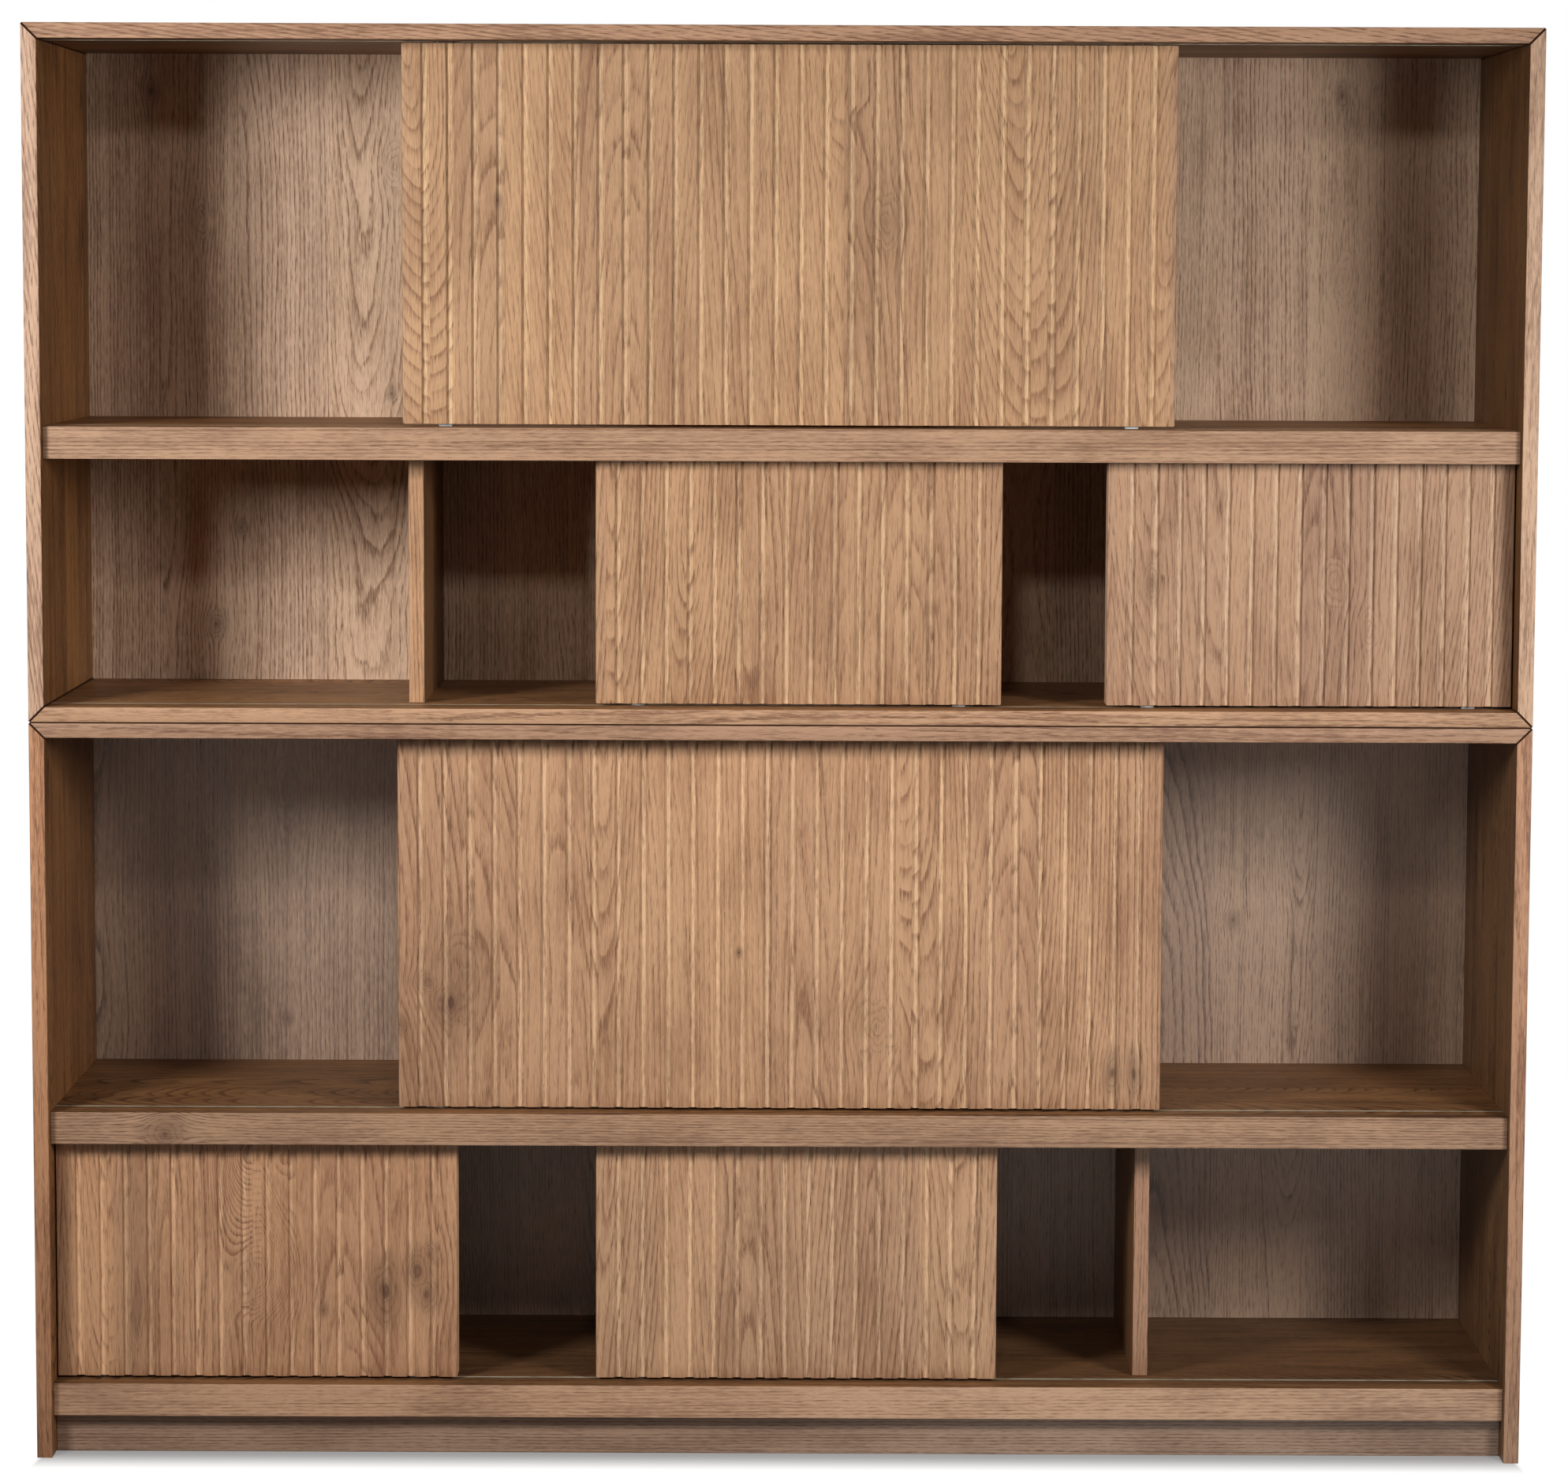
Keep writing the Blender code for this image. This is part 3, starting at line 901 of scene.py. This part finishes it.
def middle_of(node: str) -> Vector:
    """Give the middle of a CAD node's box, in metres."""
    low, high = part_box(node)
    return (low + high) / 2


def dress(node: str, material: Material) -> None:
    """Give a CAD node that keeps its shape a better material.

    Args:
        node: Name of the node.
        material: Its material.
    """
    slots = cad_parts[node].data.materials
    slots.clear()
    slots.append(material)
    log.info("%s: keeps its shape, wears %s", node, material.name)


def shelf_timber(node: str, seed: float) -> Timber:
    """Describe the boards of a shelf or floor, which lie flat and run along X."""
    return Timber(Axis.Y, Axis.Z, Axis.X, middle_of(node), board=0.09, seed=seed)


def edge_timber(node: str, seed: float) -> Timber:
    """Describe the single upright board of an apron, rail or plinth, which runs along X."""
    return Timber(
        Axis.Z, Axis.Y, Axis.X, middle_of(node), board=0.4, ring=0.0056, spread=0.1, lean=0.03,
        slant=0.02, seed=seed, contrast=1.0, flecks=1.3, clouds=1.6, tones=0.4,
    )


def dark_top(node: str) -> tuple[StainedSide]:
    """Give a node's upper face the inside stain."""
    return (StainedSide(Axis.Z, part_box(node)[1].z - FACE_SKIN, 1),)


@dataclass
class SlidingDoor:
    """A grooved oak leaf on two glides and two guide shoes.

    Args:
        name: Name of the door, which is also its body.
        seed: Number that sets its wood apart.
        knots: Knots in its face.
        shade: Cut of the door stain that its wood takes: partly the leaf's own tone, partly
        painted light and shade.
        lean: How far the heart of its boards leans, which makes their arched figure.
        end_arris: Width of the eased edge round its upper and lower end.
        groove_depth: Depth of its grooves.
        stave: Longest edge that a stave or groove can have at an end.
        wander: How far the milled groove edges wander.
        cut_length: Height between two edge loops that let the edges wander.
        rim: Width at each side of the leaf that stays straight.
    """

    WAVES = (70.0, 26.0)  # waves of the groove edges per metre across and along
    FINE_WAVES = (90.0, 75.0)

    name: str
    seed: float
    knots: tuple[Knot | Curl, ...] = ()
    shade: Colour = PLAIN
    lean: float = 0.30
    end_arris: float = 0.0007
    groove_depth: float = 0.004
    stave: float = 0.05
    wander: float = 0.00045
    cut_length: float = 0.022
    rim: float = 0.006

    def _ease_ends(self, copy: CadCopy) -> None:
        """Ease the ends of the staves.

        Args:
            copy: Copy of the leaf.
        """
        rear = copy.low.y + self.groove_depth + 0.001
        ends = (copy.low.z, copy.high.z)
        edges = [
            edge
            for edge in copy.shape.edges
            if all(vert.co.y < rear for vert in edge.verts)
            and any(all(abs(vert.co.z - end) < copy.NEAR for vert in edge.verts) for end in ends)
            and edge.calc_length() < self.stave
        ]
        bmesh.ops.bevel(
            copy.shape, geom=edges, offset=self.end_arris, offset_type="OFFSET", segments=2,
            profile=0.5, affect="EDGES", clamp_overlap=True, material=-1,
        )

    def _wander_edges(self, copy: CadCopy) -> None:
        """Let the groove edges wander a little, as the cutter and the grain leave them.

        Args:
            copy: Copy of the leaf.
        """
        count = int((copy.high.z - copy.low.z) / self.cut_length)
        for step in range(1, count):
            level = copy.low.z + (copy.high.z - copy.low.z) * step / count
            copy.slice(Vector((0, 0, level)), Vector((0, 0, 1)))
        middle = (copy.low.y + copy.high.y) / 2
        for vert in copy.shape.verts:
            rim = min(vert.co.x - copy.low.x, copy.high.x - vert.co.x)
            if vert.co.y > middle or rim < self.rim:
                continue
            broad, fine = (
                noise.noise(Vector((vert.co.x * across, vert.co.z * along, self.seed + shift)))
                for (across, along), shift in ((self.WAVES, 0.0), (self.FINE_WAVES, 4.0))
            )
            vert.co.x += self.wander * (broad + 0.5 * fine)

    def build(self) -> None:
        """Build and dress the leaf."""
        copy = CadCopy(self.name + "_leaf")
        self._ease_ends(copy)
        self._wander_edges(copy)
        timber = Timber(
            Axis.X, Axis.Y, Axis.Z, copy.middle, board=0.095, ring=0.0080, pith=0.045,
            lean=self.lean, slant=0.20, sway=0.007, seed=self.seed, contrast=0.78,
            fibres=0.8, flecks=1.0, clouds=1.6,
        )
        groove = GrooveTint(copy.low.y, self.groove_depth)
        # Partly the leaf's own tone, partly painted light and shade.
        stain = DOOR_STAIN.shaded(self.shade)
        oak = OakFinish(self.name + "_oak", stain, timber, self.knots, (), groove)
        copy.finish(self.name + "_oak_leaf", self.name, oak.material())


@dataclass
class FramePanel:
    """Mitred panel of a cabinet's frame, with a fine V where it meets its neighbours.

    Args:
        node: CAD node that it stands for.
        mitres: For each mitre, the outer corner's side along X and height sign along Z.
        flat: Whether it lies flat, as a top or bottom does.
        seed: Number that sets its wood apart.
        shade: Cut of the frame stain that its front edge takes: painted light and shade.
        inner_painted_light: Cut of the inside stain on its inner face: painted light and shade.
        stacked: Whether its outer face meets the other cabinet.
        easing: Width of the V's slope on each side.
    """

    node: str
    mitres: tuple[tuple[int, int], ...]
    flat: bool
    seed: float
    shade: Colour = PLAIN
    inner_painted_light: Colour = PLAIN
    stacked: bool = False
    easing: float = 0.0009

    def _cut_v(self, copy: CadCopy, side: int, height: int) -> tuple[Vector, Vector]:
        """Ease the mitre's front, rear and outer edges.

        Args:
            copy: Copy of the panel.
            side: -1 for the left corner, 1 for the right one.
            height: 1 for an upper corner, -1 for a lower one.

        Returns:
            A point on the mitre's plane and the way out of the panel.
        """
        low, high = copy.low, copy.high
        mitre = Vector((high.x if side > 0 else low.x, 0, high.z if height > 0 else low.z))
        along, outer = Vector((side, 0, 0)), Vector((0, 0, height))
        if not self.flat:
            along, outer = outer, along
        beyond = (along - outer).normalized()
        for edge_y, facing in ((low.y, -1), (high.y, 1)):
            corner = mitre + Vector((0, edge_y, 0)) - beyond * self.easing
            copy.pare(corner, (beyond + Vector((0, facing, 0))).normalized())
        copy.pare(mitre - along * self.easing, (beyond + outer).normalized())
        return mitre, beyond

    def build(self) -> None:
        """Build and dress the panel."""
        copy = CadCopy(self.node)
        joints = [self._cut_v(copy, side, height) for side, height in self.mitres]
        thick, long = (Axis.Z, Axis.X) if self.flat else (Axis.X, Axis.Z)
        sign = self.mitres[0][self.flat]
        inside, outside = (copy.low[thick.value], copy.high[thick.value])[::sign]
        if self.stacked:
            joints.append((Vector((0, 0, outside)), Vector((0, 0, sign))))
        timber = Timber(
            Axis.Y, thick, long, copy.middle, seed=self.seed, board=0.11, streaks=1.1,
            flecks=2.1, clouds=1.7,
        )
        # Painted light and shade: lighter and darker cuts of the inner and front edge stains.
        inner = INNER_FACE_STAIN.shaded(self.inner_painted_light)
        sides = (
            StainedSide(thick, inside + sign * FACE_SKIN, -sign, inner),
            StainedSide(Axis.Y, copy.low.y + FRONT_SKIN, -1, FRAME_STAIN.shaded(self.shade)),
            Seams(tuple(joints)),
        )
        oak = OakFinish(self.node + "_oak", FRAME_STAIN, timber, (), sides)
        copy.finish(self.node + "_panel", "carcass", oak.material())


@dataclass
class Cabinet:
    """One of the two cabinets: frame panels, back, shelf, dividers and rails.

    Args:
        unit: Which cabinet.
        back_stain: Stain of its back panel.
        back_painted_light_drift: How much paler its back gets per metre rightwards: painted light.
        back_figure: Strength of its back's growth rings.
        seed: Number that sets its wood apart.
        back_knots: Knots in its back panel.
        apron_knots: Knots in its shelf apron.
        inner_painted_lights: Cuts of the inside stain that its left and right sides take, as
            painted light and shade.
        side_painted_lights: Cuts of the frame stain on the front edges of those sides, as
            painted light and shade.
            top_painted_light, bottom_painted_light: The same for its top and bottom panel.
        divider_painted_light: Cut of the frame stain that its dividers take: painted light
            and shade.
        shelf_painted_light: Cut of the inside stain that its shelf and bottom take: painted
            light.
    """

    unit: Unit
    back_stain: Stain
    back_painted_light_drift: float
    back_figure: float
    seed: float
    back_knots: tuple[Knot, ...] = ()
    apron_knots: tuple[Knot, ...] = ()
    side_painted_lights: tuple[Colour, Colour] = (PLAIN, PLAIN)
    inner_painted_lights: tuple[Colour, Colour] = (PLAIN, PLAIN)
    top_painted_light: Colour = PLAIN
    bottom_painted_light: Colour = PLAIN
    divider_painted_light: Colour = PLAIN
    shelf_painted_light: Colour = PLAIN

    def _frame_panels(self) -> list[FramePanel]:
        """List the mitred panels of this cabinet.

        Returns:
            The panels.
        """
        name, seed, upper = self.unit.value, self.seed, self.unit is Unit.UPPER
        node, mitres, shade = name + "_top_panel", ((-1, 1), (1, 1)), self.top_painted_light
        panels = [FramePanel(node, mitres, True, seed + 1, shade, stacked=not upper)]
        # Painted light and shade on each side's front edge and inner face.
        painted_lights = zip(self.side_painted_lights, self.inner_painted_lights)
        for side, word, (shade, inner) in zip((-1, 1), ("left", "right"), painted_lights):
            node, mitres = f"{name}_{word}_side", ((side, 1), (side, -1))[: 1 + upper]
            panels.append(FramePanel(node, mitres, False, seed + 2 + side, shade, inner))
        if upper:
            node, mitres = name + "_bottom_panel", ((-1, -1), (1, -1))
            painted_lights = (self.bottom_painted_light, self.shelf_painted_light)
            panels.append(FramePanel(node, mitres, True, seed + 5, *painted_lights, stacked=True))
        return panels

    def _back(self) -> None:
        """Dress the back panel, which is veneered in wide upright boards."""
        node = self.unit.value + "_back_panel"
        timber = Timber(
            Axis.X, Axis.Y, Axis.Z, middle_of(node), board=0.14, ring=0.0056, pith=0.05,
            spread=0.62, lean=0.12, slant=0.04, sway=0.010, ripple=0.0010, seed=self.seed + 11,
            contrast=self.back_figure, flecks=1.4, tones=0.8, painted_light_drift=self.back_painted_light_drift,
        )
        rear = (StainedSide(Axis.Y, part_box(node)[1].y - REAR_SKIN, 1, REAR_STAIN),)
        name = self.unit.value + "_back_oak"
        dress(node, OakFinish(name, self.back_stain, timber, self.back_knots, rear).material())

    def _shelf_and_apron(self) -> None:
        """Dress the shelf and its apron."""
        node = self.unit.value + "_shelf"
        timber = shelf_timber(node, self.seed + 17)
        # Painted light: the shelf's inside stain is lightened.
        stain = INSIDE_STAIN.shaded(self.shelf_painted_light)
        dress(node, OakFinish(node + "_oak", stain, timber).material())
        node, name = node + "_apron", self.unit.value + "_apron_oak"
        timber = edge_timber(node, self.seed + 21)
        oak = OakFinish(name, FRAME_STAIN, timber, self.apron_knots, dark_top(node))
        dress(node, oak.material())

    def _dividers(self) -> None:
        """Dress the dividers: outside stain in front, inside stain on the faces."""
        # Painted light and shade: the dividers' stain is lighter above and darker below.
        stain = FRAME_STAIN.shaded(self.divider_painted_light)
        for word in ("left", "right"):
            node = f"{self.unit.value}_{word}_divider"
            timber = Timber(
                Axis.Y, Axis.X, Axis.Z, middle_of(node), board=0.11, seed=self.seed + len(word)
            )
            inner = (StainedSide(Axis.Y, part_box(node)[0].y + FRONT_SKIN, 1),)
            dress(node, OakFinish(node + "_oak", stain, timber, (), inner).material())

    def build(self, rails: Material) -> None:
        """Build and dress the cabinet.

        Args:
            rails: Material of its tracks and channels.
        """
        for panel in self._frame_panels():
            panel.build()
        self._back()
        self._shelf_and_apron()
        self._dividers()
        for rail in ("shelf_track", "floor_track", "top_channel", "shelf_channel"):
            dress(f"{self.unit.value}_{rail}", rails)


@dataclass
class Base:
    """Floor board of the lower cabinet, with the rail and plinths that carry it.

    Args:
        rail_painted_light: Cut of the frame stain that the floor rail takes: painted light.
        floor_painted_shade: Cut of the inside stain that the floor takes: painted shade.
        seed: Number that sets its wood apart.
    """

    rail_painted_light: Colour
    floor_painted_shade: Colour
    seed: float = 60.0

    def build(self) -> None:
        """Dress the base's nodes."""
        floor, rail = "lower_floor_panel", "lower_floor_rail"
        # Painted shade: the floor's inside stain is darkened and cooled.
        stain = INSIDE_STAIN.shaded(self.floor_painted_shade)
        dress(floor, OakFinish("floor_oak", stain, shelf_timber(floor, self.seed)).material())
        timber = edge_timber(rail, self.seed + 3)
        # Painted light: the rail's frame stain is lightened.
        stain = FRAME_STAIN.shaded(self.rail_painted_light)
        dress(rail, OakFinish("rail_oak", stain, timber, (), dark_top(rail)).material())
        plinth = OakFinish("plinth_oak", PLINTH_STAIN, replace(timber, seed=self.seed + 8))
        dress("lower_plinth", plinth.material())
        hidden = OakFinish("base_oak", INSIDE_STAIN, replace(timber, seed=self.seed + 9))
        hidden = hidden.material()
        for node in ("lower_rear_plinth", "lower_base_brace"):
            dress(node, hidden)


@dataclass(frozen=True)
class SoftBox:
    """A rectangular lamp on a stand.

    Args:
        name: Name of the lamp.
        place: Place of its middle.
        aim: Point that it faces.
        power: Its power in watts.
        width, height: Size of its face.
        spread: Angle within which its grid lets the light out.
        colour: Colour of its light.
    """

    name: str
    place: Point
    aim: Point
    power: float
    width: float = 0.64
    height: float = 0.82
    spread: float = 1.856
    colour: Colour = (1.0, 0.975, 0.94)

    def build(self) -> None:
        """Set up the lamp."""
        light = bpy.data.lights.new(self.name, "AREA")
        light.shape = "RECTANGLE"
        light.size = self.width
        light.size_y = self.height
        light.energy = self.power
        light.spread = self.spread
        light.color = self.colour
        turn = (Vector(self.aim) - Vector(self.place)).to_track_quat("-Z", "Y")
        lamp = add_object(light.name, light)
        lamp.matrix_world = Matrix.Translation(self.place) @ turn.to_matrix().to_4x4()


@dataclass
class Studio:
    """Pale floor, white surround, three lamps and the camera.

    Args:
        floor_size: Side of the square floor.
        floor_grey, floor_change: Its reflectance, and how far that varies to each side.
        floor_glow: Light that the floor adds for the camera alone in its painted shade.
            shade_half_width, shade_blur: Half the width of the painted shade, and of its edges.
            shade_front, shade_rear: Where along Y the painted shade begins to fade and has faded.
        bounce, bounce_colour: Cool light that the floor sends up before the bookcase.
        bounce_place, bounce_reach: Middle and radius of the floor area that it comes from.
        fill, fill_colour: Even light from all round.
        lamps: The two soft boxes and the small lamp over the camera.
        lens: Focal length for a sensor 36 mm wide.
        shift: Vertical shift of the view, as a share of the frame's width.
        camera_place: Place of the camera.
        camera_pitch, camera_roll, camera_yaw: Its angles up, round its own axis and left.
    """

    floor_size: float = 60.0
    floor_grey: float = 0.20
    floor_change: float = 0.01
    floor_glow: float = 0.22
    shade_half_width: float = 1.095
    shade_blur: float = 0.01
    shade_front: tuple[float, float] = (-0.19, -0.30)
    shade_rear: tuple[float, float] = (0.1, 0.5)
    bounce: float = 0.40
    bounce_colour: Colour = (0.62, 0.84, 1.0)
    bounce_place: tuple[float, float] = (0.9, -0.7)
    bounce_reach: float = 1.4
    fill: float = 0.004
    fill_colour: Colour = (0.93, 0.97, 1.0)
    lamps: tuple[SoftBox, ...] = (
        SoftBox("soft_box_left", (-2.21, -2.25, 2.16), (0.11, 0.0, 1.28), 26.2),
        SoftBox("soft_box_right", (1.94, -2.07, 1.81), (-0.29, 0.0, 0.61), 18.0),
        SoftBox(
            "front_lamp", (-0.05, -2.98, 2.87), (-0.05, 0.0, 1.2), 10.0, 0.2, 0.2, math.pi,
            (1.0, 0.93, 0.85),
        ),
    )
    lens: float = 94.62
    shift: float = -0.0698
    camera_place: Point = (0.00648, -6.2163, 1.75879)
    camera_pitch: float = -0.08649
    camera_roll: float = 0.00388
    camera_yaw: float = 0.00033

    def _floor(self) -> None:
        """Lay the floor: matt grey that lights, and a glow that whitens it where it is seen."""
        shader = Shader("studio_floor")
        place = shader.object_place()
        grain = shader.cloud(place, FLOOR_MOTTLE)
        low, high = self.floor_grey - self.floor_change, self.floor_grey + self.floor_change
        colour = shader.mix(grain, (low, low, low, 1.0), (high, high, high, 1.0))
        matt = shader.signal("ShaderNodeBsdfDiffuse", {"Color": colour})
        along = shader.parts(place)
        width, blur = self.shade_half_width, self.shade_blur
        beside = abs(along[0]).step(width - blur, width + blur)
        before, behind = along[1].step(*self.shade_front), along[1].step(*self.shade_rear)
        # Painted shade: near the bookcase the glow stays low, so the floor there is darker.
        away = beside.at_least(before).at_least(behind)
        seen = self._seen(shader)
        dx, dy = along[0] - self.bounce_place[0], along[1] - self.bounce_place[1]
        near = (dx * dx + dy * dy).root().step(self.bounce_reach, self.bounce_reach * 0.3)
        lit = near * self.bounce
        strength = lit + seen * (self.floor_glow + away * (1.0 - self.floor_glow) - lit)
        tint = shader.mix(seen, (*self.bounce_colour, 1.0), WHITE)
        glow = shader.signal("ShaderNodeEmission", {"Color": tint, "Strength": strength})
        shape = bmesh.new()
        bmesh.ops.create_grid(shape, x_segments=1, y_segments=1, size=self.floor_size / 2)
        material = shader.close(shader.signal("ShaderNodeAddShader", {0: matt, 1: glow}))
        floor = add_shape("studio_floor", shape, material)

    @staticmethod
    def _seen(shader: Shader) -> Signal:
        """Tell a ray that shows the surround from one that only lights.

        Args:
            shader: Shader to add to.

        Returns:
            1 for camera, glossy and transmission rays, else 0.
        """
        path = shader.node("ShaderNodeLightPath")
        kinds = ("Camera", "Glossy", "Transmission")
        rays = [Signal(shader, path.outputs[f"Is {kind} Ray"]) for kind in kinds]
        return rays[0].at_least(rays[1]).at_least(rays[2])

    def _surround(self) -> None:
        """Make the world: white where it is seen, and a soft fill where it lights."""
        world = bpy.data.worlds.new("studio")
        bpy.context.scene.world = world
        world.use_nodes = True
        shader = Shader("studio", world.node_tree)
        seen = self._seen(shader)
        colour = shader.mix(seen, (*self.fill_colour, 1.0), WHITE)
        strength = seen * (1.0 - self.fill) + self.fill
        ground = shader.signal("ShaderNodeBackground", {"Color": colour, "Strength": strength})
        shader.node("ShaderNodeOutputWorld", {0: ground})

    def _camera(self) -> None:
        """Set up the camera at the photograph's viewing angle."""
        data = bpy.data.cameras.new("studio_camera")
        data.sensor_fit = "HORIZONTAL"
        data.sensor_width = 36.0
        data.lens = self.lens
        data.shift_y = self.shift
        camera = add_object(data.name, data)
        turn = (
            Matrix.Rotation(self.camera_yaw, 4, "Z")
            @ Matrix.Rotation(self.camera_pitch + math.pi / 2, 4, "X")
            @ Matrix.Rotation(self.camera_roll, 4, "Z")
        )
        camera.matrix_world = Matrix.Translation(self.camera_place) @ turn
        bpy.context.scene.camera = camera

    def build(self) -> None:
        """Set up the studio."""
        self._floor()
        self._surround()
        for lamp in self.lamps:
            lamp.build()
        self._camera()
        bpy.context.scene.view_settings.view_transform = "Standard"
        log.info("studio: floor, surround, %d lamps and camera", len(self.lamps))


@dataclass
class Bookcase:
    """The whole bookcase.

    Args:
        cabinets: Its two cabinets.
        base: Base of the lower cabinet.
        doors: Its six sliding doors.
    """

    cabinets: list[Cabinet]
    base: Base
    doors: list[SlidingDoor]

    def build(self) -> None:
        """Build and dress every piece."""
        rails = PlasticFinish("runner_plastic", (182, 176, 158), (134, 124, 106)).material()
        glides = PlasticFinish("glide_plastic", (206, 216, 222), (168, 172, 172)).material()
        shoes = PlasticFinish("shoe_plastic", (92, 66, 48), (62, 44, 32)).material()
        for cabinet in self.cabinets:
            cabinet.build(rails)
        self.base.build()
        for door in self.doors:
            door.build()
            for end in ("left", "right"):
                dress(f"{door.name}_{end}_glide", glides)
                dress(f"{door.name}_{end}_shoe", shoes)


UPPER_CABINET = Cabinet(
    Unit.UPPER,
    UPPER_BACK_STAIN,
    back_painted_light_drift=0.08,
    back_figure=0.68,
    seed=3.0,
    back_knots=(
        Knot(-0.9772, 2.0345, 0.005),
        Knot(-0.6019, 1.9195, 0.007, 2.2, 0.15),
        Knot(-0.9019, 1.8394, 0.005, 2.5, 0.15),
        Knot(-0.6071, 1.5681, 0.003),
        Knot(0.8728, 1.7487, 0.007, 2.4, 0.12),
        Knot(0.8640, 2.0330, 0.004, 2.0, 0.6),
        Knot(-0.8444, 1.3581, 0.004),
        Knot(-0.8826, 1.2073, 0.006, 1.4, 0.6),
    ),
    # Painted light and shade: gains on each piece's stain, set by how the light falls on it.
    side_painted_lights=((1.52, 1.68, 1.85), (1.25, 1.35, 1.50)),
    inner_painted_lights=((1.40, 1.35, 1.10), (0.58, 0.52, 0.38)),
    top_painted_light=(1.25, 1.25, 1.25),
    bottom_painted_light=(1.16, 1.15, 1.12),
    divider_painted_light=(1.20, 1.15, 1.02),
    shelf_painted_light=(1.45, 1.50, 1.50),
)
LOWER_CABINET = Cabinet(
    Unit.LOWER,
    LOWER_BACK_STAIN,
    back_painted_light_drift=0.12,
    back_figure=0.85,
    seed=33.0,
    back_knots=(
        Knot(-0.7756, 0.5835, 0.003),
        Knot(-0.7730, 0.9450, 0.009, 2.6, 0.1),
        Knot(0.7123, 0.7464, 0.004),
    ),
    apron_knots=(Knot(0.4864, -0.9081, 0.010, 1.1, 0.8),),
    # Painted light and shade: gains on each piece's stain, set by how the light falls on it.
    side_painted_lights=((1.14, 0.95, 0.80), (1.06, 0.95, 0.92)),
    inner_painted_lights=((1.18, 1.10, 1.0), (0.74, 0.74, 0.74)),
    top_painted_light=(0.88, 0.85, 0.86),
    divider_painted_light=(0.95, 0.87, 0.86),
    shelf_painted_light=(1.10, 1.12, 1.10),
)
UPPER_LARGE_KNOTS = (
    Knot(-0.4151, 1.8625, 0.002, 2.0, 0.9),
    Knot(0.1500, 1.8350, 0.010, 1.7, 0.30),
    Curl(0.0900, 1.9400, 0.060, 0.080, 0.35),
)
UPPER_RIGHT_KNOTS = (
    Knot(0.8127, 1.3107, 0.008, 1.9, 0.0),
    Knot(0.8650, 1.2400, 0.006, 2.2, 0.0),
    Knot(0.5455, 1.3059, 0.005, 2.4, 0.5),
)
LOWER_LARGE_KNOTS = (
    Knot(-0.5204, 0.7080, 0.008, 0.8, 0.5),
    Knot(-0.4866, 0.6786, 0.010, 1.3, 0.85),
    Knot(-0.4713, 0.7200, 0.015, 1.8, 0.55),
    Knot(-0.5627, 0.6452, 0.004, 1.5, 0.8),
    Knot(-0.0602, 0.7547, 0.002, 1.4, 0.8),
    Knot(0.1424, 0.6456, 0.013, 1.3, 0.2),
    Knot(0.4943, 0.5752, 0.0045, 2.6, 0.75),
    Knot(0.5259, 0.5753, 0.0045, 2.6, 0.75),
)
LOWER_LEFT_KNOTS = (
    Knot(-0.6786, 0.2137, 0.003, 1.4, 0.8),
    Knot(-0.5844, 0.2440, 0.009, 1.9, 0.8),
    Knot(-0.5372, 0.2717, 0.008, 1.5, 0.7),
    Knot(-0.5244, 0.2382, 0.007, 1.5, 0.7),
    Knot(-0.5195, 0.2981, 0.005, 1.5, 0.55),
    Knot(-0.7950, 0.2600, 0.008, 2.2, 0.25),
    Knot(-0.9560, 0.2600, 0.0095, 16.0, 0.5),
    Curl(-0.7700, 0.3600, 0.085, 0.170, 0.9),
)
# Fourth values: gains on the door stain, partly own tone, partly painted light and shade.
DOORS = [
    SlidingDoor("upper_large_door", 101.0, UPPER_LARGE_KNOTS, (0.98, 0.98, 0.98), lean=0.42),
    SlidingDoor("upper_middle_door", 211.0, (), (0.96, 0.94, 0.94)),
    SlidingDoor("upper_right_door", 307.0, UPPER_RIGHT_KNOTS, (0.87, 0.87, 0.97)),
    SlidingDoor("lower_large_door", 401.0, LOWER_LARGE_KNOTS, (1.06, 1.03, 1.05)),
    SlidingDoor("lower_left_door", 503.0, LOWER_LEFT_KNOTS, (1.18, 1.10, 1.10)),
    SlidingDoor("lower_middle_door", 601.0, (), (1.12, 1.10, 1.14)),
]


def main() -> None:
    """Build the studio and the bookcase in order."""
    logging.basicConfig(level=logging.INFO, format="%(message)s")
    Studio().build()
    # Painted light on the rail and painted shade on the floor.
    base = Base(rail_painted_light=(1.28, 1.28, 1.30), floor_painted_shade=(0.80, 0.82, 0.90))
    Bookcase([UPPER_CABINET, LOWER_CABINET], base, DOORS).build()


if __name__ == "__main__":
    main()
